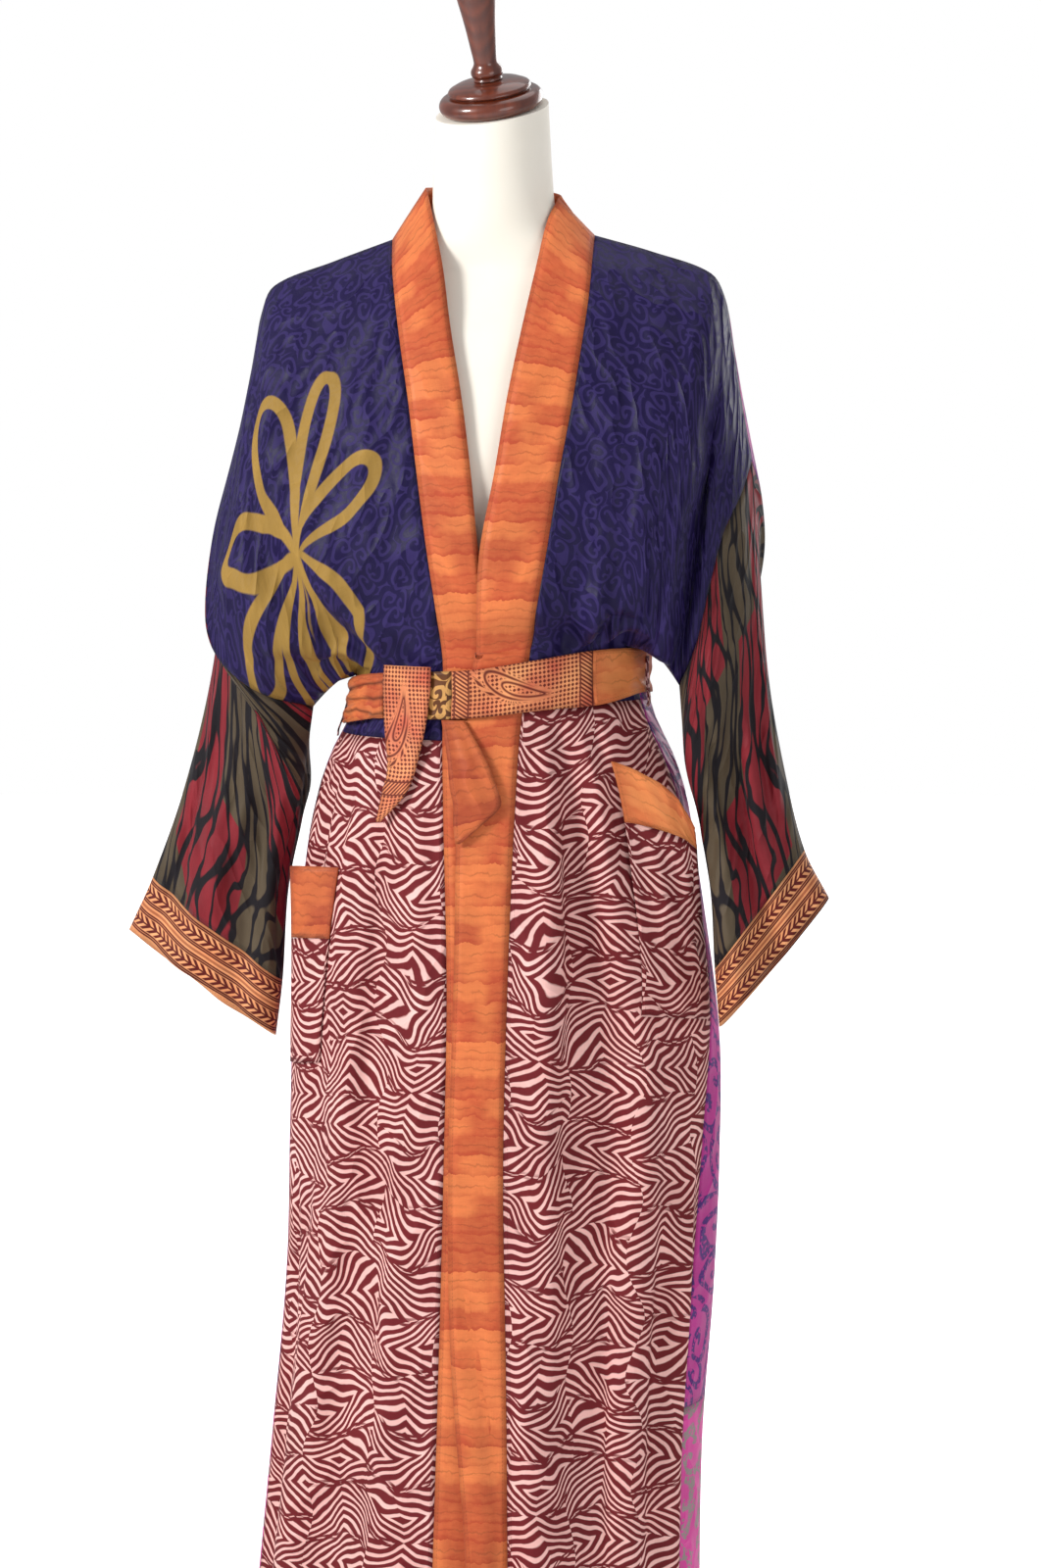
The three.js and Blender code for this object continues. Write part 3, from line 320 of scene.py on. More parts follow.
# Sleeve rings: the outer and inner ends, the half thickness each way and the hang of each side.
SLEEVE = {
    Side.RIGHT: Table(
        "s out_x out_z in_x in_y in_z front back drop_front drop_back",
        (0.2, -245, 1095, -165, -26, 918, 44, 58, 44, 44),
        (0.42, -258, 993, -174, -18, 862, 38, 46, 24, 24),
        (0.66, -284, 888, -186, -18, 795, 34, 34, 8, 10),
        (0.88, -315, 802, -190, -24, 714, 30, 30, -4, 12),
        (1, -338, 752, -196, -26, 664, 31, 31, -8, 14),
    ),
    Side.LEFT: Table(
        "s out_x out_z in_x in_y in_z front back drop_front drop_back",
        (0.2, 239, 1082, 177, -34, 932, 44, 58, 26, 40),
        (0.42, 247, 990, 188, -14, 868, 40, 46, 12, 16),
        (0.66, 262, 908, 199, -16, 803, 38, 34, 8, 10),
        (0.88, 280, 838, 206, -44, 737, 30, 30, 2, 6),
        (1, 302, 796, 211, -50, 686, 28, 30, 0, 6),
    ),
}
CUFF_START = 0.88
SLEEVE_ROWS = 8 * FINE
CUFF_ROWS = 2 * FINE


@dataclass(frozen=True)
class SleeveFold:
    """A fold down a sleeve: its place round the ring, depth, half width and start."""

    at: float
    depth: float
    width: float
    start: float


SLEEVE_FOLDS = {
    Side.RIGHT: (
        SleeveFold(0.14, -7, 0.03, 0.3),
        SleeveFold(0.22, 7, 0.035, 0.2),
        SleeveFold(0.33, -8, 0.035, 0.25),
        SleeveFold(0.72, -8, 0.04, 0.3),
    ),
    Side.LEFT: (
        SleeveFold(0.13, -6, 0.03, 0.3),
        SleeveFold(0.24, -14, 0.035, 0.25),
        SleeveFold(0.34, 9, 0.05, 0.2),
        SleeveFold(0.76, -8, 0.04, 0.3),
    ),
}


@dataclass(frozen=True)
class BodiceFold:
    """A fold of the blousing: its place across at the shoulder and the belt, and its reach."""

    top: float
    low: float
    depth: float
    width: float
    start: float
    end: float


BODICE_FOLDS = {
    "right": (
        BodiceFold(0.45, 0.42, 9, 0.12, 0.1, 0.98),
        BodiceFold(0.62, 0.5, -9, 0.07, 0.35, 0.98),
        BodiceFold(0.8, 0.74, 14, 0.14, 0.25, 1),
    ),
    "left": (
        BodiceFold(0.4, 0.5, 15, 0.2, 0.08, 0.99),
        BodiceFold(0.6, 0.97, -24, 0.07, 0.1, 0.8),
        BodiceFold(0.52, 0.84, 12, 0.08, 0.15, 0.97),
    ),
    "back": (
        BodiceFold(0.22, 0.25, 12, 0.09, 0.15, 0.98),
        BodiceFold(0.5, 0.5, 14, 0.16, 0.1, 0.98),
        BodiceFold(0.78, 0.75, 12, 0.09, 0.15, 0.98),
    ),
}

# The dress form: centre, half width, depths and forward tilt of its rings, by height.
FORM = Table(
    "z x y half front back tilt",
    (722, 0, 0, 146, 98, 98, 0),
    (760, 0, 0, 152, 102, 102, 0),
    (830, 0, 0, 150, 103, 96, 0),
    (900, 2, 0, 132, 96, 82, 0),
    (960, 4, 0, 114, 90, 70, 0),
    (1000, 4, 0, 110, 90, 68, 0),
    (1060, 3, 0, 120, 98, 74, 0),
    (1130, 1, 0, 138, 108, 84, 0),
    (1190, 0, 0, 150, 104, 88, 0),
    (1240, 0, 0, 158, 90, 88, 0),
    (1285, 0, 0, 172, 72, 72, 0),
    (1315, 0, 1, 172, 54, 56, 0),
    (1335, 0, 1, 160, 42, 42, 0),
    (1350, 0, 1, 130, 34, 30, 0),
    (1362, 0, 1, 95.5, 35, 32, 0),
    (1378, 0, 1, 67, 39, 44, 1),
    (1398, 0, 0, 56, 43, 48, 2),
    (1430, 0, -3, 53, 45, 48, 6),
    (1462, 1, -8, 51, 46, 47, 13),
    (1488, 1.5, -13, 50, 47, 47, 20),
)
TORSO_FOOT = 722.0
SHOULDER_Z = 1285.0
NECK_FOOT = 1400.0
NECK_TOP = 1488.0
NECK_TILT = 20.0
NECK_ROLL = -4.6
CAP_RADIUS = 46.0

BELT_LINE = Table(
    "angle middle width",
    (-110, 968, 40),
    (-77, 968, 40),
    (-45, 976, 40),
    (0, 981, 42),
    (25, 989, 44),
    (48, 994, 48),
    (75, 998, 40),
    (110, 994, 40),
    (180, 984, 42),
    (250, 968, 40),
)
BELT_OUT = 3.7  # the belt's outer face stands this far off the bodice
BELT_ROWS = 14

# Belt ends: height, middle, half width and distance from the garment.
TAIL_PRINT = Table(
    "t z x half out",
    (0, 1004, -55, 22, 6.2),
    (0.2, 985, -55, 22, 7.2),
    (0.4, 952, -56, 19, 7.4),
    (0.65, 915, -59, 13, 6.5),
    (0.82, 893, -66, 11, 6.5),
    (1, 868, -80, 2, 6.5),
)
TAIL_PLAIN = Table(
    "t z x half out",
    (0, 958.4, -14, 10, 3.7),
    (0.3, 927, -2, 16, 5),
    (0.55, 900, 5, 20, 6),
    (0.7, 885, 8, 20, 6),
    (0.85, 870, 1, 13, 6),
    (1, 852, -8, 2, 6),
)


@dataclass(frozen=True)
class PocketPlan:
    """A patch pocket: panel columns at its sides, heights of its seams, and its open mouth."""

    inner: float
    inner_low: float
    outer: float
    outer_low: float
    top_in: float
    top_out: float
    strip_in: float
    strip_out: float
    low_in: float
    low_out: float
    gape: float


POCKETS = {
    Side.RIGHT: PocketPlan(5.5, 6.4, 9, 9.8, 824, 818, 760, 753, 648, 640, 15),
    Side.LEFT: PocketPlan(5, 5, 8.1, 9.75, 921, 857, 868, 838, 700, 688, 24),
}


def mix(a: float, b: float, t: float) -> float:
    """Value between a and b."""
    return a + (b - a) * t


def rise(a: float, b: float, x: float) -> float:
    """0 below a, 1 above b, smooth between."""
    t = min(max((x - a) / (b - a), 0.0), 1.0)
    return t * t * (3 - 2 * t)


def steps(count: int, start: float = 0.0, end: float = 1.0) -> list[float]:
    """Evenly spaced values from start to end, both included."""
    return [mix(start, end, i / count) for i in range(count + 1)]


def lap(side: Side, angle: float) -> float:
    """How far a front stands off the one under it, which only the left one does."""
    return BAND_LIFT * (1 - rise(22, 40, angle)) if side is Side.LEFT else 0.0


def over_lap(angle: float) -> float:
    """How far the belt stands out to pass over the left front's edge."""
    return rise(-24, -8, angle) * lap(Side.LEFT, angle)


def belt_line(angle: float) -> SimpleNamespace:
    """The belt's middle and width at an angle, also past its table's last one."""
    return BELT_LINE.at(angle - 360 if angle > 250 else angle)


class Outline:
    """The garment's outline round the body, below the arms."""

    @staticmethod
    def flute(angle: float, z: float) -> float:
        """How far the skirt's long folds move the outline out.

        Args:
            angle: Degrees from the front, positive towards the wearer's left.
            z: Height.

        Returns:
            Distance along the outline's normal.
        """
        down = (FLUTE_TOP - z) / (FLUTE_TOP - HEM_Z)
        total = 0.0
        for fold in FLUTES:
            turn = (angle - mix(fold.top, fold.hem, down) + 180) % 360 - 180
            reach = rise(0, 260, fold.start - z)
            total += fold.depth * reach * math.exp(-((turn / fold.width) ** 2))
        return total

    @classmethod
    def point(cls, angle: float, z: float, out: float = 0.0) -> Vector:
        """Point of the outline.

        Args:
            angle: Degrees from the front.
            z: Height.
            out: Distance off the outline.

        Returns:
            The point, in millimetres.
        """
        body = BODY.at(z)
        s, c = math.sin(math.radians(angle)), math.cos(math.radians(angle))
        width = body.left if s > 0 else body.right
        depth = body.front if c > 0 else body.back
        normal = Vector((s / width, -c / depth, 0)).normalized()
        return Vector((width * s, -depth * c, z)) + normal * (out + cls.flute(angle, z))

    @staticmethod
    def front_angle(x: float, z: float) -> float:
        """Angle at which the front of the outline reaches this x."""
        body = BODY.at(z)
        return math.degrees(math.asin(x / (body.left if x > 0 else body.right)))

    @staticmethod
    def belt_top(angle: float) -> float:
        """Height of the line just above the belt."""
        belt = belt_line(angle)
        return belt.middle + belt.width / 2 + OVER_BELT


Edge = Callable[[float], Vector]


@dataclass(frozen=True)
class Patch:
    """A surface between four edges. The bend of the two side edges fades across it."""

    top: Edge
    low: Edge
    start: Edge
    end: Edge
    folds: tuple[BodiceFold, ...]
    fold_sign: int
    fade: float = 1.0

    def at(self, u: float, w: float) -> Vector:
        """Point of the patch.

        Args:
            u: Place across, from the start edge (0) to the end edge (1).
            w: Place down, from the top (0) to the low edge (1).

        Returns:
            The point, with the folds of the blousing.
        """
        place = self.top(u).lerp(self.low(u), w)
        start = self.start(w) - self.top(0).lerp(self.low(0), w)
        end = self.end(w) - self.top(1).lerp(self.low(1), w)
        place = place + start * (1 - u) ** self.fade + end * u**self.fade
        for fold in self.folds:
            middle = mix(fold.top, fold.low, w)
            along = rise(fold.start, fold.start + 0.25, w)
            along *= 1 - rise(fold.end - 0.22, fold.end, w)
            across = math.exp(-(((u - middle) / fold.width) ** 2))
            across *= rise(0, 0.1, u) * rise(0, 0.1, 1 - u)
            place.y += self.fold_sign * fold.depth * along * across
        return place


class Pattern:
    """The duster's cut: every panel as a grid of points, rows from the top down."""

    def __init__(self) -> None:
        """Draws the panels that are sewn edge to edge."""
        self.upper = steps(ARM_ROWS + SIDE_ROWS)
        self.waist_row = ARM_ROWS + SIDE_ROWS + WAIST_ROWS
        self.fronts = {side: self.front(side) for side in Side}
        self.back = self.draw_back()
        self.bands = {side: self.band(side) for side in Side}
        self.sleeves = {side: self.sleeve(side) for side in Side}

    def side_seam(self, side: Side, t: float) -> Vector:
        """Side seam from the underarm (0) to the top of the belt (1).

        Args:
            side: The side.
            t: Place along the seam.

        Returns:
            The point.
        """
        underarm = ARMHOLE[side, "front"].point(1)
        body = BODY.at(SIDE_Z)
        angle = body.side_left if side is Side.LEFT else -body.side_right
        end = Outline.point(angle, Outline.belt_top(angle))
        middle = underarm.lerp(end, 0.5) + Vector((0, 4, 8))
        return underarm.lerp(middle, t).lerp(middle.lerp(end, t), t)

    def outer_edge(self, side: Side, face: str) -> Edge:
        """The armhole, then the side seam, as one edge.

        Args:
            side: The side.
            face: "front" or "back".

        Returns:
            The edge, from 0 to 1.
        """
        hole = ARMHOLE[side, face]

        def edge(w: float) -> Vector:
            """Point of the edge.

            Args:
                w: Place along it.

            Returns:
                The point.
            """
            if w <= ARM_END + 1e-9:
                return hole.point(w / ARM_END)
            return self.side_seam(side, (w - ARM_END) / (1 - ARM_END))

        return edge

    def front_edge(self, side: Side, edge: str, w: float) -> Vector:
        """Point of the band's seam or free edge above the belt.

        Args:
            side: The front.
            edge: "seam" or "free".
            w: Place from the neck (0) to the belt (1).

        Returns:
            The point, led on to the body's outline near the belt.
        """
        row = FRONT_EDGE[side].at(w)
        place = Vector([getattr(row, f"{edge}_{axis}") for axis in "xyz"])
        angle = Outline.front_angle(place.x, place.z)
        return place.lerp(Outline.point(angle, place.z, lap(side, angle)), rise(0.88, 1, w))

    def below(
        self, top: list[Vector], waist: Sequence[float], angle_at: Callable, side: Side | None
    ) -> Grid:
        """Rows from the top of the belt to the hem.

        Args:
            top: The row at the belt.
            waist: Height of the waist seam for each column.
            angle_at: Gives a column's angle at a height.
            side: The front that is drawn, or None for the back.

        Returns:
            The rows under the top one.
        """
        rows = []
        heights = [[mix(p.z, w, t) for p, w in zip(top, waist)] for t in steps(WAIST_ROWS)[1:]]
        heights += [[mix(w, HEM_Z, t) for w in waist] for t in steps(SKIRT_ROWS)[1:]]
        for line in heights:
            row = []
            for i, z in enumerate(line):
                angle = angle_at(i, z)
                row.append(Outline.point(angle, z, lap(side, angle) if side else 0.0))
            rows.append(row)
        return rows

    def front(self, side: Side) -> Grid:
        """Grid of one front, from the band's seam to the side.

        Args:
            side: The front.

        Returns:
            The grid.
        """
        seam_end = self.front_edge(side, "seam", 1)
        start = abs(Outline.front_angle(seam_end.x, seam_end.z))
        side_at = f"side_{side.value}"
        finish = getattr(BODY.at(SIDE_Z), side_at)

        def belt(u: float) -> Vector:
            """Point of the row just above the belt.

            Args:
                u: Share across the front.

            Returns:
                The point.
            """
            angle = side.sign * mix(start, finish, u)
            z = mix(seam_end.z, Outline.belt_top(angle), rise(0, 0.25, u))
            place = Outline.point(angle, z, lap(side, angle))
            return place.lerp(seam_end, 1 - rise(0, 0.15, u))

        patch = Patch(
            top=SHOULDER[side].point,
            low=belt,
            start=lambda w: self.front_edge(side, "seam", w),
            end=self.outer_edge(side, "front"),
            folds=BODICE_FOLDS[side.value],
            fold_sign=-1,
        )
        columns = steps(FRONT_COLUMNS)
        rows = [[patch.at(u, w) for u in columns] for w in self.upper]

        def angle_at(i: int, z: float) -> float:
            """Angle of a column below the belt."""
            seam = abs(Outline.front_angle(getattr(LOW_EDGE.at(z), f"{side.value}_seam"), z))
            return side.sign * mix(seam, getattr(BODY.at(z), side_at), columns[i])

        return rows + self.below(rows[-1], [side.waist] * len(columns), angle_at, side)

    def draw_back(self) -> Grid:
        """Grid of the back, from the right side to the left side.

        Returns:
            The grid.
        """
        right = [(Side.RIGHT, 1 - u) for u in steps(FRONT_COLUMNS)]
        neck = [(None, t) for t in steps(NECK_COLUMNS)[1:-1]]
        columns = right + neck + [(Side.LEFT, u) for u in steps(FRONT_COLUMNS)]
        last = len(columns) - 1

        def top(u: float) -> Vector:
            """Point of the shoulders and the neckline.

            Args:
                u: Share across the back.

            Returns:
                The point.
            """
            side, t = columns[round(u * last)]
            if side:
                return SHOULDER[side].point(t)
            bow = math.sin(math.pi * t)
            depth, z = NECK_DEPTH * bow**0.8, NECK_Z + NECK_RISE * bow
            return Vector((mix(-NECK_HALF, NECK_HALF, t), depth, z))

        def angle_at(i: int, z: float) -> float:
            """Angle of a column at a height."""
            body = BODY.at(z)
            return mix(-body.side_right, body.side_left - 360, i / last) + 360

        def belt(u: float) -> Vector:
            """Point of the row just above the belt."""
            angle = angle_at(round(u * last), SIDE_Z)
            return Outline.point(angle, Outline.belt_top(angle))

        patch = Patch(
            top=top,
            low=belt,
            start=self.outer_edge(Side.RIGHT, "back"),
            end=self.outer_edge(Side.LEFT, "back"),
            folds=BODICE_FOLDS["back"],
            fold_sign=1,
            fade=3,
        )
        rows = []
        for w in self.upper:
            row = []
            for i in range(last + 1):
                u = i / last
                place = patch.at(u, w)
                depth = 52 - 38 * math.exp(-(((u - 0.5) / 0.13) ** 2))
                swell = math.sin(math.pi * u) ** 0.7 * math.sin(math.pi * w**0.6)
                place.y += depth * swell if 0 < u < 1 and 0 < w < 1 else 0
                row.append(place)
            rows.append(row)
        waist = [mix(Side.RIGHT.waist, Side.LEFT.waist, i / last) for i in range(last + 1)]
        return rows + self.below(rows[-1], waist, angle_at, None)

    def band(self, side: Side) -> Grid:
        """Grid of a band, from its seam to its free edge.

        Args:
            side: The front that it edges.

        Returns:
            The grid.
        """
        rows = []
        for i, row in enumerate(self.fronts[side]):
            seam, line = row[0], []
            for t in steps(BAND_COLUMNS):
                if i < len(self.upper):
                    free = self.front_edge(side, "free", self.upper[i])
                    line.append(seam.lerp(free, t) + Vector((0, -4 * t * (1 - t), 0)))
                    continue
                low = LOW_EDGE.at(seam.z)
                name = side.value
                x = mix(getattr(low, f"{name}_seam"), getattr(low, f"{name}_free"), t)
                spread = 22 * t * (1 - rise(120, 380, seam.z)) if side is Side.LEFT else 0
                angle = Outline.front_angle(x, seam.z)
                place = Outline.point(angle, seam.z, lap(side, angle) + spread)
                line.append(seam.copy() if t == 0 else place)
            rows.append(line)
        return rows

    def sleeve(self, side: Side) -> Grid:
        """Grid of a sleeve, one ring a row, the first being the armhole.

        Args:
            side: The arm.

        Returns:
            The grid.
        """
        fronts = [row[-1] for row in self.fronts[side][: ARM_ROWS + 1]]
        column = 0 if side is Side.RIGHT else -1
        backs = [row[column] for row in self.back[1:ARM_ROWS]]
        armhole = fronts + backs[::-1]
        count = len(armhole)
        tracks = []
        for i, start in enumerate(armhole):
            around = 2 * math.pi * i / count
            track = [(0, *start)]
            for s, *_ in SLEEVE[side].rows:
                ring = SLEEVE[side].at(s)
                out = Vector((ring.out_x, 0, ring.out_z))
                inner = Vector((ring.in_x, ring.in_y, ring.in_z))
                front = math.sin(around) > 0
                hang = Vector((0, -ring.front, -ring.drop_front))
                hang = hang if front else Vector((0, ring.back, -ring.drop_back))
                place = (out + inner) / 2 + (out - inner) / 2 * math.cos(around)
                track.append((s, *(place + hang * abs(math.sin(around)) ** 0.8)))
            tracks.append(Table("s x y z", *track))
        stations = steps(SLEEVE_ROWS, 0, CUFF_START) + steps(CUFF_ROWS, CUFF_START, 1)[1:]
        rows = []
        for s in stations:
            row = []
            for i, track in enumerate(tracks):
                place = track.point(s)
                for fold in SLEEVE_FOLDS[side]:
                    away = (i / count - fold.at) / fold.width
                    size = fold.depth * rise(fold.start, fold.start + 0.3, s)
                    place.y += (-1 if fold.at < 0.5 else 1) * size * math.exp(-(away**2))
                row.append(place)
            rows.append(row)
        return rows

    def neck_band(self) -> Grid:
        """Grid of the band behind the neck, from its upper edge to the neckline.

        Returns:
            The grid.
        """
        neckline = self.back[0][FRONT_COLUMNS : FRONT_COLUMNS + NECK_COLUMNS + 1]
        ends = [self.bands[side][0] for side in (Side.RIGHT, Side.LEFT)]
        right, left = (FRONT_EDGE[side].at(0) for side in (Side.RIGHT, Side.LEFT))
        rows = []
        for k, t in enumerate(steps(BAND_COLUMNS)):
            row = []
            for i, place in enumerate(neckline):
                along = i / (len(neckline) - 1)
                bow = math.sin(math.pi * along)
                rim = Vector((-RIM_HALF * math.cos(math.pi * along), 0, 0))
                rim.y = right.free_y + RIM_DEPTH * bow
                rim.z = mix(right.free_z, left.free_z, along) + RIM_RISE * bow
                row.append(place.lerp(rim, t) + Vector((0, 2 * bow * t * (1 - t), 0)))
            row[0], row[-1] = ends[0][k].copy(), ends[1][k].copy()
            rows.append(row)
        return rows[::-1]

    def pocket(self, side: Side) -> tuple[Grid, Grid]:
        """Grids of a pocket's top strip and of the pocket, standing off the skirt.

        Args:
            side: The front that carries it.

        Returns:
            The strip and the pocket.
        """
        plan = POCKETS[side]
        skirt = self.fronts[side][self.waist_row :]

        def row(level: int, part: float) -> list[Vector]:
            """One row of the strip (level 0) or of the pocket (level 1).

            Args:
                level: 0 or 1.
                part: Share down that piece.

            Returns:
                The row.
            """
            line = []
            for u in steps(6 * FINE):
                top = plan.top_in - (plan.top_in - plan.top_out) * u**1.6
                strip = plan.strip_in - (plan.strip_in - plan.strip_out) * u**1.4
                low = mix(plan.low_in, plan.low_out, u)
                z = mix(strip, low, part) if level else mix(top, strip, part)
                down = (top - z) / (top - low)
                inner = mix(plan.inner, plan.inner_low, down)
                column = mix(inner, mix(plan.outer, plan.outer_low, down**0.7), u)
                puff = 3.4 * math.sin(math.pi * u) ** 0.7 if 0 < u < 1 else 0
                puff *= 1 - 0.75 * rise(0.86, 1, down)
                open_out = plan.gape * rise(0.05, 0.75, u) * (1 - down) ** 2.2
                down_skirt = (side.waist - z) / (side.waist - HEM_Z) * SKIRT_ROWS
                line.append(
                    on_grid(skirt, column * FINE, down_skirt, side.sign, 1.9 + puff + open_out)
                )
            return line

        strip = [row(0, part) for part in steps(2 * FINE)]
        return strip, [row(1, part) for part in steps(4 * FINE)]

    def belt(self, start: float, end: float, pleats: Callable[[float, float], float]) -> Grid:
        """Grid of one stretch of the belt, rows from its top edge down.

        Args:
            start: Angle of its first end.
            end: Angle of its last end.
            pleats: Gives the rise of the cloth at a share along and a share down.

        Returns:
            The grid.
        """
        count = max(8, round(abs(end - start) / 1.6))
        rows = []
        for t in steps(BELT_ROWS):
            row = []
            for along in steps(count):
                angle = mix(start, end, along)
                turn = angle - 360 if angle > 180 else angle
                line = belt_line(angle)
                out = over_lap(turn) + BELT_OUT + pleats(along, t)
                row.append(Outline.point(turn, line.middle + (0.5 - t) * line.width, out))
            rows.append(row)
        return rows

    def tail(self, table: Table, roll: float) -> Grid:
        """Grid of a hanging belt end.

        Args:
            table: Its middle, half width and distance off the garment.
            roll: How far its two long edges curl.

        Returns:
            The grid.
        """
        rows = []
        for t in steps(26):
            r, row = table.at(t), []
            for s in steps(8, -1, 1):
                angle = Outline.front_angle(r.x + s * r.half, r.z)
                ripple = roll * math.cos(2.2 * math.pi * s) * math.sin(math.pi * min(t * 1.4, 1))
                row.append(Outline.point(angle, r.z, over_lap(angle) + r.out + ripple))
            rows.append(row)
        return rows

    def loop(self, angle: float, top: float) -> Grid:
        """Grid of the small strap that holds the belt at a side seam.

        Args:
            angle: Where it hangs.
            top: Its upper end, over the belt's middle.

        Returns:
            The grid.
        """
        line = belt_line(angle)
        low = -line.width / 2
        track = Table("t up out", (0, top, 5.7), (0.6, low - 4, 5.7), (1, low - 13, 2.4))
        rows = []
        for t in steps(10):
            at = track.at(t)
            z = line.middle + at.up
            rows.append([Outline.point(angle + turn, z, at.out) for turn in (-1.6, 0, 1.6)])
        return rows


def on_grid(rows: Grid, column: float, line: float, facing: int, out: float) -> Vector:
    """Point of a grid between its rows and columns, moved out along the facet.

    Args:
        rows: The grid.
        column: Place across, in columns.
        line: Place down, in rows.
        facing: 1 where columns run to +X in front, or -1.
        out: Distance off the surface.

    Returns:
        The point.
    """
    j = min(int(line), len(rows) - 2)
    i = min(int(column), len(rows[0]) - 2)
    a, b, c, d = rows[j][i], rows[j][i + 1], rows[j + 1][i + 1], rows[j + 1][i]
    normal = (c - a).cross(b - d).normalized() * facing
    place = a.lerp(b, column - i).lerp(d.lerp(c, column - i), line - j)
    return place + normal * out


@dataclass(frozen=True)
class Crease:
    """A soft ridge or trough across a panel, in shares of its width and height, then mm."""

    across: float
    down: float
    to_across: float
    to_down: float
    depth: float
    width: float

    def lift(self, point: Vector, size: Vector) -> float:
        """How far the crease moves the cloth.

        Args:
            point: Place on the panel, in shares.
            size: The panel's width and height.

        Returns:
            Distance along the cloth's normal.
        """
        start = Vector((self.across * size.x, self.down * size.y))
        run = Vector((self.to_across * size.x, self.to_down * size.y)) - start
        place = Vector((point.x * size.x, point.y * size.y)) - start
        t = place.dot(run) / run.length_squared
        if not -0.1 < t < 1.1:
            return 0.0
        held = min(max(t, 0.0), 1.0)
        away = (place - run * held).length / (self.width * (0.65 + 0.7 * held))
        fade = rise(-0.1, 0.3, t) * (1 - rise(0.6, 1.1, t))
        return self.depth * fade * math.exp(-(away**2)) if away < 3 else 0.0


def fan(
    at: float, down: float, to_down: float, spread: Sequence[tuple[float, float, float]]
) -> tuple[Crease, ...]:
    """Creases that start side by side and run down or up together.

    Args:
        at: Middle of the fan across the panel.
        down: Where the creases start, down the panel.
        to_down: Where the longest ends.
        spread: For each crease its offset across, its share of the length and its depth.

    Returns:
        The creases.
    """
    return tuple(
        Crease(at + off, down, at + off * 1.7, mix(down, to_down, reach), depth, 7 + 5 * reach)
        for off, reach, depth in spread
    )


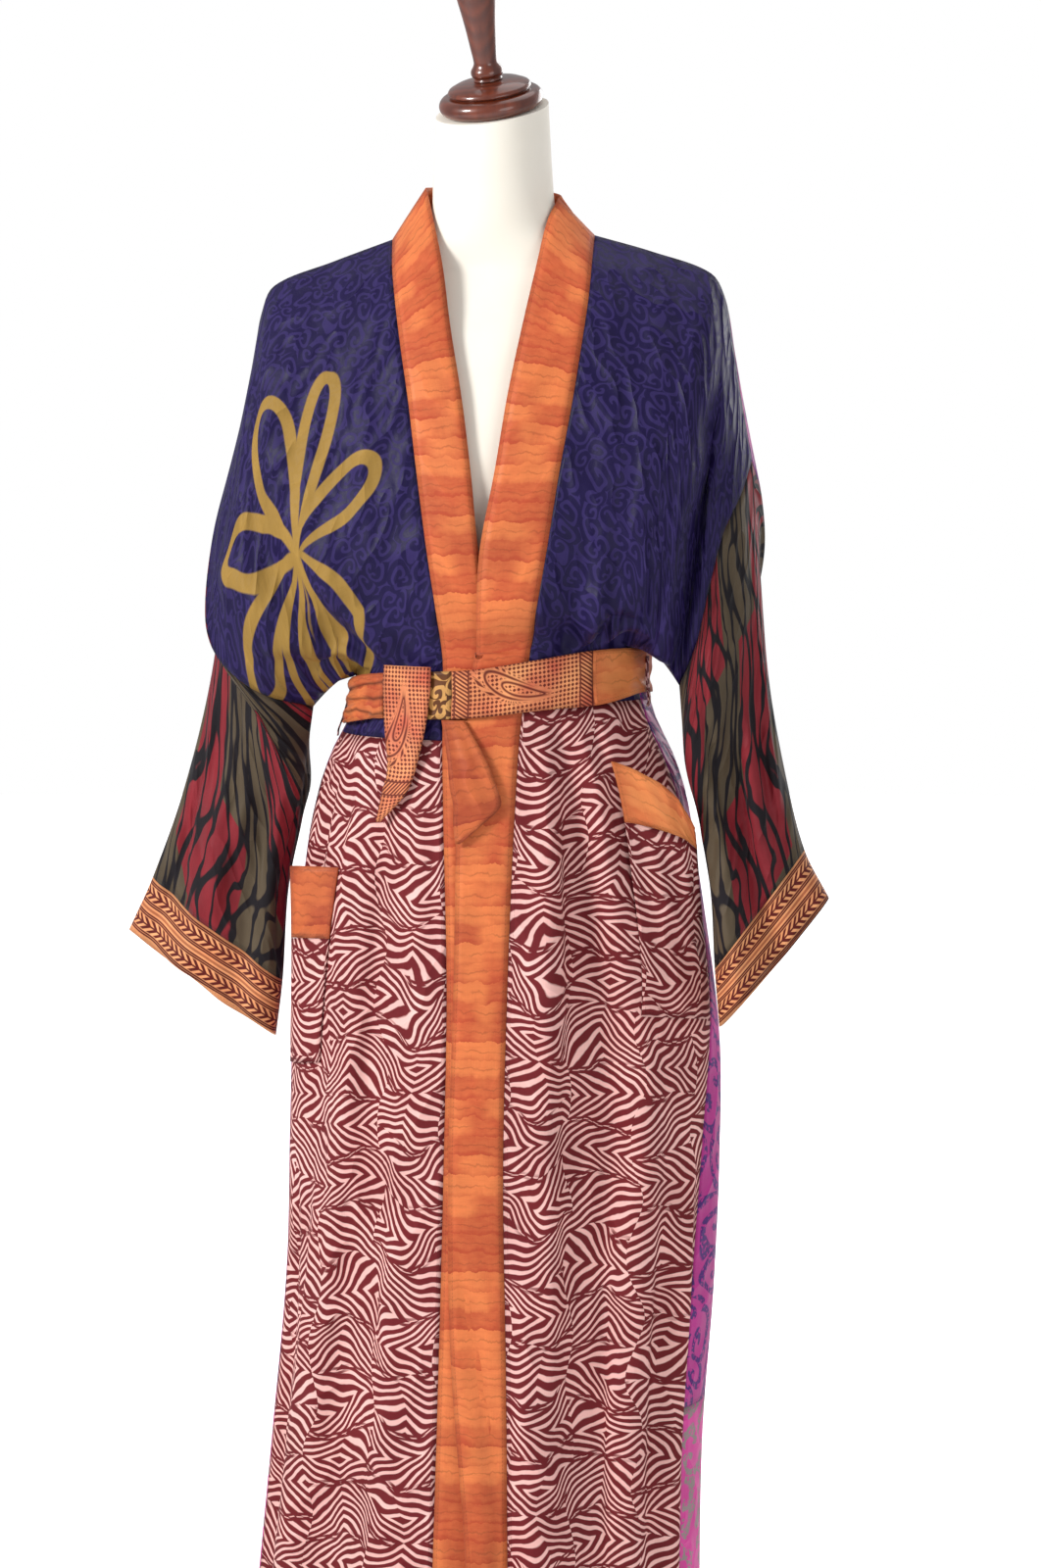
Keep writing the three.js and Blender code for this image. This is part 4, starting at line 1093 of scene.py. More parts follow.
CREASES: dict[str, tuple[Crease, ...]] = {
    "bodice_front_right": (
        Crease(0.12, 0.3, 0.3, 0.78, 3.2, 14),
        Crease(0.3, 0.16, 0.52, 0.62, -3.0, 13),
        Crease(0.55, 0.1, 0.7, 0.4, 3.0, 12),
        Crease(0.86, 0.3, 0.6, 0.52, 2.6, 11),
        Crease(0.9, 0.5, 0.62, 0.74, -3.0, 10),
        Crease(0.95, 0.62, 0.66, 0.86, 3.0, 9),
        *fan(
            0.38, 0.92, 0.46,
            ((-0.2, 0.5, 2.4), (-0.1, 0.9, -3.0), (0.02, 0.7, 3.2), (0.12, 1, -3)),
        ),
        *fan(0.68, 0.92, 0.5, ((-0.06, 0.8, 3.4), (0.05, 1, -3.4), (0.14, 0.6, 3.0))),
    ),
    "bodice_front_left": (
        Crease(0.1, 0.2, 0.28, 0.7, 3.0, 14),
        Crease(0.34, 0.1, 0.5, 0.5, -3.2, 14),
        Crease(0.22, 0.5, 0.46, 0.88, 3.4, 12),
        Crease(0.75, 0.12, 0.66, 0.36, 2.4, 11),
        Crease(0.6, 0.46, 0.4, 0.66, 3.0, 10),
        Crease(0.64, 0.58, 0.36, 0.76, -3.0, 9),
        *fan(
            0.36, 0.92, 0.46,
            ((-0.22, 0.6, 2.4), (-0.12, 1, -3.2), (-0.02, 0.7, 3.4), (0.09, 1, -3.6)),
        ),
        *fan(0.62, 0.92, 0.48, ((-0.08, 0.9, 3.6), (0.02, 0.6, -3.4), (0.12, 1, 3.2))),
    ),
    "bodice_back": (
        Crease(0.14, 0.24, 0.3, 0.62, 3.4, 16),
        Crease(0.86, 0.24, 0.7, 0.6, 3.4, 16),
        Crease(0.34, 0.2, 0.42, 0.7, -3.0, 15),
        Crease(0.63, 0.18, 0.58, 0.66, -3.0, 15),
        *fan(
            0.3, 0.92, 0.48,
            ((-0.12, 0.6, 2.6), (-0.06, 1, -3.2), (0, 0.8, 3.4), (0.06, 0.9, -3)),
        ),
        *fan(
            0.52, 0.92, 0.5,
            ((-0.08, 1, 3.2), (-0.02, 0.7, -3), (0.05, 1, 3.4), (0.1, 0.6, -3)),
        ),
        *fan(
            0.74, 0.92, 0.48,
            ((-0.07, 0.8, -3), (0, 1, 3.4), (0.06, 0.7, -3.2), (0.11, 1, 2.8)),
        ),
    ),
    "skirt_front_left": (
        Crease(0.14, 0.02, 0.12, 0.5, 2.6, 11),
        Crease(0.24, 0.02, 0.27, 0.62, -4.6, 10),
        Crease(0.36, 0.03, 0.42, 0.34, 3.2, 10),
        Crease(0.47, 0.03, 0.5, 0.2, -2.6, 8),
        Crease(0.3, 0.4, 0.34, 1.1, -4.4, 17),
        Crease(0.58, 0.36, 0.56, 1.1, 4.4, 19),
        Crease(0.75, 0.46, 0.78, 1.12, -4.0, 15),
        Crease(0.91, 0.42, 0.92, 1.1, 3.0, 12),
        Crease(0.08, 0.55, 0.12, 1.1, 3.0, 13),
        Crease(0.58, 0.5, 0.32, 0.66, 1.8, 12),
        Crease(0.6, 0.66, 0.36, 0.84, 1.8, 12),
    ),
    "skirt_front_right": (
        Crease(0.1, 0.02, 0.13, 0.42, 2.8, 11),
        Crease(0.3, 0.03, 0.34, 0.6, -4.4, 12),
        Crease(0.45, 0.03, 0.52, 0.3, 3.2, 10),
        Crease(0.7, 0.04, 0.78, 0.2, -2.4, 8),
        Crease(0.2, 0.36, 0.22, 1.1, 4.2, 17),
        Crease(0.4, 0.42, 0.46, 1.1, -4.4, 18),
        Crease(0.64, 0.44, 0.7, 1.1, 4.2, 17),
        Crease(0.86, 0.42, 0.9, 1.1, -3.4, 13),
        Crease(0.3, 0.55, 0.08, 0.7, 1.8, 12),
        Crease(0.56, 0.74, 0.3, 0.9, 1.8, 12),
    ),
    "skirt_back_upper": (
        Crease(0.1, 0.02, 0.12, 0.6, 3.6, 15),
        Crease(0.22, 0.02, 0.22, 1.1, -4.4, 18),
        Crease(0.37, 0.02, 0.39, 0.7, 3.8, 17),
        Crease(0.52, 0.02, 0.53, 1.1, -4.4, 20),
        Crease(0.66, 0.02, 0.64, 1.1, 4.2, 18),
        Crease(0.8, 0.02, 0.8, 0.8, -4.0, 17),
        Crease(0.91, 0.02, 0.89, 0.6, 3.4, 14),
    ),
    "skirt_back_lower": (
        Crease(0.22, -0.3, 0.21, 1.2, -4.4, 20),
        Crease(0.38, 0.1, 0.39, 1.2, 3.4, 17),
        Crease(0.53, -0.3, 0.54, 1.2, -4.4, 22),
        Crease(0.64, -0.3, 0.62, 1.2, 4.2, 20),
        Crease(0.84, 0.1, 0.83, 1.2, 3.2, 16),
    ),
    "sleeve_right": (
        Crease(0.1, 0.42, 0.2, 0.98, 3.6, 8),
        Crease(0.18, 0.3, 0.29, 0.9, -3.6, 8),
        Crease(0.27, 0.5, 0.24, 1.04, 3.4, 8),
        Crease(0.36, 0.34, 0.4, 0.9, 3.4, 9),
        Crease(0.46, 0.4, 0.45, 1.0, -2.6, 8),
        Crease(0.62, 0.3, 0.66, 0.9, 3.4, 10),
        Crease(0.78, 0.36, 0.8, 1.0, -3.4, 10),
        Crease(0.88, 0.2, 0.86, 0.8, 3.0, 10),
    ),
    "sleeve_left": (
        Crease(0.06, 0.3, 0.12, 0.9, 3.2, 9),
        Crease(0.17, 0.36, 0.2, 1.0, 3.6, 8),
        Crease(0.3, 0.2, 0.28, 0.8, -3.2, 8),
        Crease(0.4, 0.4, 0.37, 1.04, 3.4, 9),
        Crease(0.6, 0.3, 0.62, 0.9, 3.2, 10),
        Crease(0.7, 0.2, 0.72, 0.9, -3.2, 9),
        Crease(0.86, 0.3, 0.87, 0.9, 3.0, 10),
    ),
    "band_right": (
        Crease(0.5, 0.08, 0.42, 0.2, 1.0, 9),
        Crease(0.3, 0.55, 0.6, 0.78, -1.6, 8),
    ),
    "band_left": (
        Crease(0.6, 0.02, 0.3, 0.1, -2.0, 6),
        Crease(0.75, 0.12, 0.6, 0.3, 1.2, 9),
        Crease(0.95, 0.8, 0.1, 0.93, -4.5, 6),
        Crease(0.75, 0.84, 0.3, 1.06, 3.4, 8),
    ),
    "pocket_right": (Crease(0.3, 0.1, 0.4, 0.8, 1.6, 9),),
    "pocket_left": (
        Crease(0.3, 0.02, 0.4, 0.6, 1.8, 10),
        Crease(0.7, 0.05, 0.62, 0.7, 2.0, 10),
    ),
    "pocket_facing_left": (
        Crease(0.35, 0.0, 0.5, 1.0, 1.6, 8),
        Crease(0.7, 0.0, 0.66, 1.0, -1.4, 7),
    ),
    "belt_back": (
        Crease(0.0, 0.3, 0.25, 0.5, 1.2, 4),
        Crease(0.02, 0.75, 0.3, 0.7, -1.2, 4),
        Crease(0.4, 0.25, 0.8, 0.4, 1.2, 5),
    ),
    "belt_print": (
        Crease(0.0, 0.3, 0.3, 0.4, 1.0, 4),
        Crease(0.05, 0.7, 0.4, 0.62, -1.0, 4),
    ),
}


@dataclass(frozen=True)
class Cut:
    """How a piece of cloth was cut, and what holds it now."""

    slot: str
    width: float
    length: float
    share: float
    held: Held = Held.HUNG
    rests_on: tuple[str, ...] = ("form_torso",)


CUTS = {
    "bodice_front_right": Cut("bodice_silk", 0.29, 0.48, 0.68, Held.GATHERED),
    "bodice_front_left": Cut("bodice_silk", 0.28, 0.46, 0.6, Held.GATHERED),
    "bodice_back": Cut("back_silk", 0.78, 0.46, 0.66, Held.GATHERED),
    "skirt_front_right": Cut("print_silk", 0.23, 0.84, 0.89),
    "skirt_front_left": Cut("print_silk", 0.22, 0.88, 0.87),
    "skirt_back_upper": Cut("back_silk", 0.62, 0.64, 0.88),
    "skirt_back_lower": Cut("hem_silk", 0.64, 0.24, 0.96),
    "sleeve_right": Cut("sleeve_silk", 0.4, 0.4, 0.6),
    "sleeve_left": Cut("sleeve_silk", 0.38, 0.35, 0.6),
    "cuff_right": Cut("cuff_silk", 0.4, 0.055, 0.87),
    "cuff_left": Cut("cuff_silk", 0.36, 0.05, 0.82),
    "band_right": Cut("band_silk", 0.057, 1.36, 0.87, Held.FOLDED),
    "band_left": Cut("band_silk", 0.058, 1.36, 0.83, Held.FOLDED),
    "band_neck": Cut("band_silk", 0.235, 0.055, 0.65, Held.FOLDED),
    "pocket_right": Cut("print_silk", 0.068, 0.115, 0.94, Held.HUNG, ("skirt_front_right",)),
    "pocket_left": Cut("print_silk", 0.09, 0.17, 0.85, Held.HUNG, ("skirt_front_left",)),
    "pocket_facing_right": Cut("trim_silk", 0.07, 0.067, 0.95, Held.HUNG, ("pocket_right",)),
    "pocket_facing_left": Cut("trim_silk", 0.1, 0.055, 0.52, Held.HUNG, ("pocket_left",)),
    "belt_pleats": Cut("trim_silk", 0.084, 0.043, 0.97, Held.FOLDED, ("bodice_front_right",)),
    "belt_ornament": Cut("belt_silk", 0.07, 0.042, 0.97, Held.FOLDED, ("bodice_front_right",)),
    "belt_print": Cut("belt_silk", 0.13, 0.047, 0.93, Held.FOLDED, ("bodice_front_left",)),
    "belt_back": Cut("trim_silk", 0.485, 0.047, 0.87, Held.FOLDED, ("bodice_back",)),
    "belt_tail_print": Cut("belt_silk", 0.052, 0.149, 0.64, Held.HUNG, ("belt_ornament",)),
    "belt_tail_plain": Cut("trim_silk", 0.043, 0.131, 0.61, Held.HUNG, ("belt_ornament",)),
    "belt_loop_right": Cut("print_silk", 0.01, 0.036, 0.68, Held.HUNG, ("bodice_back",)),
    "belt_loop_left": Cut("print_silk", 0.01, 0.045, 0.68, Held.HUNG, ("bodice_back",)),
}


@dataclass
class Cloth:
    """One panel of cloth, from a grid of points to a thin shell with its own finish."""

    node: str
    rows: Grid
    finish: "Silk"
    facing: int = 1
    tube: bool = False
    wall: float = 0.9
    fullness: float = 1.7
    piece: bpy.types.Object | None = field(default=None, init=False)

    def __post_init__(self) -> None:
        """Measures the grid along its rows and down its columns."""
        self.height, self.width = len(self.rows), len(self.rows[0])
        self.across = [self.run(self.line(j)) for j in range(self.height)]
        self.down = [self.run([row[i] for row in self.rows]) for i in range(self.width)]
        self.down.append(self.down[0])
        lines = len(self.down)
        self.level = [sum(line[j] for line in self.down) / lines for j in range(self.height)]
        self.straight = self.node.startswith("band")  # a band's dye runs level across it
        self.size = Vector((
            sum(line[-1] for line in self.across) / self.height,
            sum(line[-1] for line in self.down) / lines,
        ))

    def line(self, j: int) -> list[Vector]:
        """One row of points, closed on itself for a tube."""
        return self.rows[j] + self.rows[j][:1] if self.tube else self.rows[j]

    @staticmethod
    def run(points: Sequence[Vector]) -> list[float]:
        """Distance along a line of points, at each point.

        Args:
            points: The line.

        Returns:
            One distance a point.
        """
        total, found = 0.0, [0.0]
        for a, b in zip(points, points[1:]):
            total += (b - a).length
            found.append(total)
        return found

    def share(self, j: int, i: int) -> Vector:
        """Place of a grid point on its panel, from 0 to 1 both ways."""
        return Vector((i / (self.width - (0 if self.tube else 1)), j / (self.height - 1)))

    def normal(self, j: int, i: int) -> Vector:
        """Outward normal at a grid point.

        Args:
            j: Row.
            i: Column.

        Returns:
            The normal.
        """
        rows, w = self.rows, self.width
        left = (i - 1) % w if self.tube else max(i - 1, 0)
        right = (i + 1) % w if self.tube else min(i + 1, w - 1)
        along = rows[j][right] - rows[j][left]
        down = rows[min(j + 1, self.height - 1)][i] - rows[max(j - 1, 0)][i]
        return down.cross(along).normalized() * self.facing

    def drawn_back(self, j: int, i: int) -> Vector:
        """Grid point moved inward from the seams that it lies on.

        Args:
            j: Row.
            i: Column.

        Returns:
            The point.
        """
        here = self.rows[j][i].copy()
        inward = []
        if j in (0, self.height - 1):
            inward.append(self.rows[1 if j == 0 else j - 1][i])
        if not self.tube and i in (0, self.width - 1):
            inward.append(self.rows[j][1 if i == 0 else i - 1])
        for other in inward:
            here += (other - self.rows[j][i]).normalized() * HALF_SEAM
        return here

    def points(self) -> list[Vector]:
        """Every grid point in metres, with the panel's creases.

        Returns:
            The points, row after row.
        """
        creases = CREASES.get(self.node, ())
        found = []
        for j in range(self.height):
            for i in range(self.width):
                share = self.share(j, i)
                turns = (share, share + Vector((1, 0)), share - Vector((1, 0)))
                tries = turns if self.tube else turns[:1]
                edge = min(share.y, 1 - share.y)
                edge = edge if self.tube else min(edge, share.x, 1 - share.x)
                calm = rise(0, 0.04, edge)
                if self.node.startswith("bodice"):
                    calm *= 1 - rise(0.78, 0.86, share.y)
                lift = sum(c.lift(place, self.size) for c in creases for place in tries)
                lift *= calm * self.fullness
                found.append((self.drawn_back(j, i) + self.normal(j, i) * lift) * MM)
        return found

    def build(self) -> "Cloth":
        """Makes the shell, its two maps and its wall.

        Returns:
            The panel itself.
        """
        w, columns = self.width, self.width if self.tube else self.width - 1
        faces, corners = [], []
        for j in range(self.height - 1):
            for i in range(columns):
                k = (i + 1) % w
                face = [(j, i, i), (j + 1, i, i), (j + 1, k, i + 1), (j, k, i + 1)]
                face = face if self.facing > 0 else face[::-1]
                faces.append([row * w + column for row, column, _ in face])
                corners += [(row, place) for row, _, place in face]
        mesh = bpy.data.meshes.new(f"silk_{self.node}")
        mesh.from_pydata(self.points(), [], faces)
        cloth, edge = mesh.uv_layers.new(name="cloth"), mesh.uv_layers.new(name="edge")
        for n, (j, i) in enumerate(corners):
            u, v = self.across[j][i], self.down[i][j]
            level = self.level[j] if self.straight else v
            cloth.data[n].uv = (u * MM, -level * MM)
            side = 200.0 if self.tube else min(u, self.across[j][-1] - u)
            edge.data[n].uv = (side * MM, min(v, self.down[i][-1] - v) * MM)
        mesh.update()
        self.piece = added(mesh.name, mesh)
        only(self.piece)
        bpy.ops.object.shade_smooth()
        wall = self.piece.modifiers.new("wall", "SOLIDIFY")
        wall.thickness, wall.offset = self.wall * MM, -1
        bpy.ops.object.modifier_apply(modifier=wall.name)
        return self

    def dress(self) -> None:
        """Gives the panel its finish, parents it to the root and hides the imported piece that it
        stands for.
        """
        cut = CUTS[self.node]
        self.piece.data.materials.append(self.finish.material())
        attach(self.piece, "root")
        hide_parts(self.node)
        list(cut.rests_on)
        cut.share * cut.width * cut.length
        area = sum(face.area for face in self.piece.data.polygons) / 2
        log.info("%s: %.4f square metres of cloth", self.node, area)


def added(name: str, data: bpy.types.ID) -> bpy.types.Object:
    """Puts a new object in the scene.

    Args:
        name: Its name.
        data: Its mesh, lamp or camera.

    Returns:
        The object.
    """
    made = bpy.data.objects.new(name, data)
    bpy.context.scene.collection.objects.link(made)
    return made


def aim(thing: bpy.types.Object, place: Sequence[float], at: Sequence[float]) -> None:
    """Stands a lamp or the camera at a place and turns it towards another.

    Args:
        thing: What is turned.
        place: Where it stands, in metres.
        at: What it looks at, in metres.
    """
    thing.location = place
    look = Vector(at) - Vector(place)
    thing.rotation_euler = look.to_track_quat("-Z", "Y").to_euler()


def only(piece: bpy.types.Object) -> None:
    """Selects one object and makes it the active one.

    Args:
        piece: The object.
    """
    bpy.ops.object.select_all(action="DESELECT")
    piece.select_set(True)
    bpy.context.view_layer.objects.active = piece


Socket = bpy.types.NodeSocket
Sockets = dict[str, Socket]
Number = "Value | float"
SEAM_DEPTH = 0.0005  # metres that a seam draws the cloth in
THREAD_DEPTH = 0.000012


class Value:
    """A number that varies over a surface. Arithmetic on it lays down shader nodes."""

    def __init__(self, graph: "Graph", socket: Socket) -> None:
        """Keeps the graph and the socket that carries the number."""
        self.graph, self.socket = graph, socket

    def __add__(self, other: Number) -> "Value":
        """Sum."""
        return self.graph.math("ADD", self, other)

    __radd__ = __add__

    def __sub__(self, other: Number) -> "Value":
        """Difference."""
        return self.graph.math("SUBTRACT", self, other)

    def __rsub__(self, other: Number) -> "Value":
        """Difference from a plain number."""
        return self.graph.math("SUBTRACT", other, self)

    def __mul__(self, other: Number) -> "Value":
        """Product."""
        return self.graph.math("MULTIPLY", self, other)

    __rmul__ = __mul__

    def __truediv__(self, other: Number) -> "Value":
        """Quotient."""
        return self.graph.math("DIVIDE", self, other)

    def __abs__(self) -> "Value":
        """Size without sign."""
        return self.graph.math("ABSOLUTE", self)

    def do(self, operation: str, *others: Number) -> "Value":
        """Any other operation of the Math node."""
        return self.graph.math(operation, self, *others)

    def wave(self, period: Number) -> "Value":
        """A smooth wave between -1 and 1."""
        return (self / period * (2 * math.pi)).do("SINE")

    def above(self, edge: Number, soft: float = 0.05) -> "Value":
        """0 below the edge, 1 above it, smooth over twice the soft width."""
        return ((self - edge) / (2 * soft) + 0.5).do("SMOOTH_MIN", 1.0, 0.2).do("MAXIMUM", 0.0)


class Graph:
    """Short words for laying nodes in a material or a node group."""

    def __init__(self, tree: bpy.types.NodeTree) -> None:
        """Keeps the node tree."""
        self.tree = tree

    def node(self, kind: str, *values: object, **settings: object) -> bpy.types.Node:
        """Adds a node.

        Args:
            kind: The node's type.
            values: What feeds its first inputs, in their order.
            settings: Its settings, by name.

        Returns:
            The node.
        """
        made = self.tree.nodes.new(kind)
        for name, value in settings.items():
            setattr(made, name, value)
        for socket, value in zip(made.inputs, values):
            self.feed(socket, value)
        return made

    def feed(self, socket: Socket, value: object) -> None:
        """Links a value or a socket to an input, or writes a plain one into it.

        Args:
            socket: The input.
            value: A Value, a socket, a number, a vector or a colour code such as "d2693a".
        """
        source = value.socket if isinstance(value, Value) else value
        source = paint(source) if isinstance(source, str) else source
        if isinstance(source, Socket):
            self.tree.links.new(source, socket)
        else:
            socket.default_value = source

    def math(self, operation: str, *values: Number) -> Value:
        """One Math node."""
        return Value(self, self.node("ShaderNodeMath", *values, operation=operation).outputs[0])

    def vector(self, x: Number, y: Number, z: Number = 0.0) -> Socket:
        """A vector from its parts."""
        return self.node("ShaderNodeCombineXYZ", x, y, z).outputs[0]

    def parts(self, vector: Socket) -> tuple[Value, Value, Value]:
        """The parts of a vector, a colour or a place."""
        made = self.node("ShaderNodeSeparateXYZ", vector)
        return tuple(Value(self, out) for out in made.outputs)

    def noise(
        self, x: Number, y: Number, detail: float = 2.0, rough: float = 0.5, z: Number = 0.0
    ) -> Value:
        """Noise with features one unit across.

        Args:
            x: Place, across.
            y: Place, up.
            detail: How many finer layers lie on the first.
            rough: How strong each finer layer is.
            z: Place, in depth.

        Returns:
            The noise, about 0.5 on average.
        """
        made = self.node("ShaderNodeTexNoise")
        self.feed(made.inputs["Vector"], self.vector(x, y, z))
        self.feed(made.inputs["Scale"], 1.0)
        self.feed(made.inputs["Detail"], detail)
        self.feed(made.inputs["Roughness"], rough)
        return Value(self, made.outputs["Fac"])

    def cell(self, at: Socket, random: float = 1.0) -> tuple[Value, Value, Value]:
        """The nearest scattered point to a place, in a grid of unit cells.

        Args:
            at: The place.
            random: How far the points leave the middles of the cells.

        Returns:
            The place's x and y from that point, and a number of the point's own.
        """
        made = self.node("ShaderNodeTexVoronoi", voronoi_dimensions="2D")
        self.feed(made.inputs["Vector"], at)
        self.feed(made.inputs["Scale"], 1.0)
        self.feed(made.inputs["Randomness"], random)
        x, y, _ = self.parts(at)
        centre_x, centre_y, _ = self.parts(made.outputs["Position"])
        own, _, _ = self.parts(made.outputs["Color"])
        return x - centre_x, y - centre_y, own

    def blend(self, share: Number, low: object, high: object) -> Socket:
        """Colour between two others.

        Args:
            share: How much of the second.
            low: First colour.
            high: Second colour.

        Returns:
            The colour.
        """
        made = self.node("ShaderNodeMix", data_type="RGBA", clamp_factor=True)
        for number, value in ((0, share), (6, low), (7, high)):
            self.feed(made.inputs[number], value)
        return made.outputs[2]

    def shade(self, colour: object, amount: Number) -> Socket:
        """A colour made lighter (above 1) or darker (below 1).

        Args:
            colour: The colour.
            amount: What it is multiplied by.

        Returns:
            The colour.
        """
        made = self.node("ShaderNodeVectorMath", operation="SCALE")
        self.feed(made.inputs[0], colour[:3] if isinstance(colour, tuple) else colour)
        self.feed(made.inputs["Scale"], amount)
        return made.outputs[0]

    def map(self, name: str) -> Socket:
        """One of the piece's own maps, in metres."""
        return self.node("ShaderNodeUVMap", uv_map=name).outputs[0]


def paint(code: str) -> tuple[float, float, float, float]:
    """Linear colour from a screen colour such as "d2693a".

    Args:
        code: Six hexadecimal digits.

    Returns:
        Red, green, blue and 1.
    """
    parts = [int(code[i : i + 2], 16) / 255 for i in (0, 2, 4)]
    linear = [c / 12.92 if c <= 0.04045 else ((c + 0.055) / 1.055) ** 2.4 for c in parts]
    return (*linear, 1.0)


class Effect(ABC):
    """A shader node group that several finishes use, made once and placed in each."""

    inputs: dict[str, tuple[str, object]] = {}
    outputs: tuple[str, ...] = ()

    @classmethod
    def tree(cls) -> bpy.types.NodeTree:
        """The group's node tree, drawn the first time that it is asked for.

        Returns:
            The tree.
        """
        found = bpy.data.node_groups.get(cls.__name__)
        if found:
            return found
        made = bpy.data.node_groups.new(cls.__name__, "ShaderNodeTree")
        for name, (kind, value) in cls.inputs.items():
            socket = made.interface.new_socket(
                name, in_out="INPUT", socket_type=f"NodeSocket{kind}"
            )
            if value is not None:
                socket.default_value = value
        for name in cls.outputs:
            made.interface.new_socket(name, in_out="OUTPUT", socket_type="NodeSocketFloat")
        graph = Graph(made)
        source = graph.node("NodeGroupInput").outputs
        given = {name: source[name] for name in cls.inputs}
        sink = graph.node("NodeGroupOutput").inputs
        for name, value in zip(cls.outputs, cls.draw(graph, given)):
            graph.feed(sink[name], value)
        return made

    @classmethod
    def place(cls, graph: Graph, **values: object) -> tuple[Value, ...]:
        """Puts the group in a graph with its own values.

        Args:
            graph: Where it goes.
            values: The inputs that are set.

        Returns:
            One value for each output.
        """
        made = graph.node("ShaderNodeGroup", node_tree=cls.tree())
        for name, value in values.items():
            graph.feed(made.inputs[name], value)
        return tuple(Value(graph, out) for out in made.outputs)

    @staticmethod
    @abstractmethod
    def draw(graph: Graph, given: Sockets) -> Iterable[Value]:
        """Lays the group's nodes and gives its outputs.

        Args:
            graph: The group's own graph.
            given: The sockets of its inputs.

        Returns:
            One value for each output.
        """


class Weave(Effect):
    """Crossing threads of a fine cloth, with uneven slubs."""

    inputs = {"Cloth": ("Vector", None), "Thread": ("Float", 0.0005)}
    outputs = ("Height", "Slub")

    @staticmethod
    def draw(graph: Graph, given: Sockets) -> Iterable[Value]:
        """Warp and weft waves, and long streaks of thicker thread."""
        u, v, _ = graph.parts(given["Cloth"])
        thread = Value(graph, given["Thread"])
        height = u.wave(thread) * v.wave(thread)
        slub = graph.noise(u * 60, v * 900) + graph.noise(u * 900, v * 60)
        return height, slub - 1.0


class Crumple(Effect):
    """Soft uneven wrinkles of washed silk, from hand size down to fingertip size."""

    inputs = {"Cloth": ("Vector", None), "Size": ("Float", 0.03), "Stretch": ("Float", 0.5)}
    outputs = ("Height",)

    @staticmethod
    def draw(graph: Graph, given: Sockets) -> Iterable[Value]:
        """Two sizes of noise, drawn out down the cloth."""
        u, v, _ = graph.parts(given["Cloth"])
        size, stretch = Value(graph, given["Size"]), Value(graph, given["Stretch"])
        large = graph.noise(u / size, v * stretch / size)
        turned = graph.noise((u + v * 0.6) / size * 0.8, (v - u * 0.6) / size * 0.45, 1)
        fold = abs(turned - 0.5) * 2.0
        small = graph.noise(u / size * 3.1 + large * 2, v / size * 2.3)
        return (large + (1.0 - fold).do("POWER", 4.0) * 0.8 + small * 0.16 - 0.9,)


class Seam(Effect):
    """The line where a piece meets its neighbour: a drawn-in edge with puckers, its painted shade
    and its stitches.
    """

    inputs = {"Cloth": ("Vector", None), "Edge": ("Vector", None), "Width": ("Float", 0.003)}
    outputs = ("Height", "Shade")

    @staticmethod
    def draw(graph: Graph, given: Sockets) -> Iterable[Value]:
        """A soft groove along every edge, small puckers across it, and a row of stitches."""
        u, v, _ = graph.parts(given["Cloth"])
        side, end, _ = graph.parts(given["Edge"])
        near = side.do("MINIMUM", end) / Value(graph, given["Width"])
        groove = (near * near * -1.0).do("EXPONENT")
        pucker = (near * near * -0.06).do("EXPONENT")
        ripple = graph.noise(u * 130, v * 130, 1) - 0.5
        row = 1.0 - abs(side.do("MINIMUM", end) - 0.0035).above(0.0004, 0.0001)
        stitch = row * (u + v).wave(0.0034).above(-0.3, 0.2)
        # Shade: painted shade in the groove, and the stitches' own darker thread.
        return pucker * ripple * 0.5 - groove - stitch * 0.4, 1.0 - groove * 0.22 - stitch * 0.2


class Scrolls(Effect):
    """Curling lines, one spiral in each of many scattered cells."""

    inputs = {
        "Cloth": ("Vector", None),
        "Size": ("Float", 0.03),
        "Turns": ("Float", 4.0),
        "Ink": ("Float", 0.2),
    }
    outputs = ("Mask",)

    @staticmethod
    def draw(graph: Graph, given: Sockets) -> Iterable[Value]:
        """Spirals whose arms join from cell to cell."""
        u, v, _ = graph.parts(given["Cloth"])
        size = Value(graph, given["Size"])
        sway = graph.noise(u / size * 0.6, v / size * 0.6, 1) * 1.4
        x, y, own = graph.cell(graph.vector(u / size + sway, v / size - sway))
        away = (x * x + y * y).do("SQRT")
        turn = y.do("ARCTAN2", x) + own * 6.28
        line = (turn + away * Value(graph, given["Turns"]) * 6.28).do("SINE")
        return (line.above(1 - 2 * Value(graph, given["Ink"]), 0.16),)


class CloudBars(Effect):
    """Cloudy bars across a cloth, each with a thin wandering outline."""

    inputs = {"Cloth": ("Vector", None), "Pitch": ("Float", 0.02), "Wander": ("Float", 0.6)}
    outputs = ("Bar", "Line")

    @staticmethod
    def draw(graph: Graph, given: Sockets) -> Iterable[Value]:
        """Bars from a wave that noise bends, and lines where it turns."""
        u, v, _ = graph.parts(given["Cloth"])
        pitch = Value(graph, given["Pitch"])
        slow = graph.noise(u / pitch * 0.28, v / pitch * 0.5) * Value(graph, given["Wander"])
        ragged = graph.noise(u / pitch * 1.5, v / pitch * 0.6, 3, 0.6) * 0.7
        level = v / pitch + slow * 1.3 + ragged
        bar = graph.noise(u / pitch * 0.3, level.do("FLOOR") * 5.3, 1).above(0.48, 0.05)
        haze = graph.noise(u / pitch * 1.4, v / pitch * 3.2, 4, 0.65)
        gaps = graph.noise(u / pitch * 1.1, v / pitch * 1.1, 1).above(0.4, 0.12)
        edge = (1.0 - abs(level.do("FRACT") - 0.5).above(0.035, 0.03)) * gaps
        lower = (1.0 - level.do("FRACT").above(0.13, 0.12)) * 0.45
        return (bar * 0.75 + haze * 1.1 + lower - 0.5).do("MAXIMUM", 0.0), edge


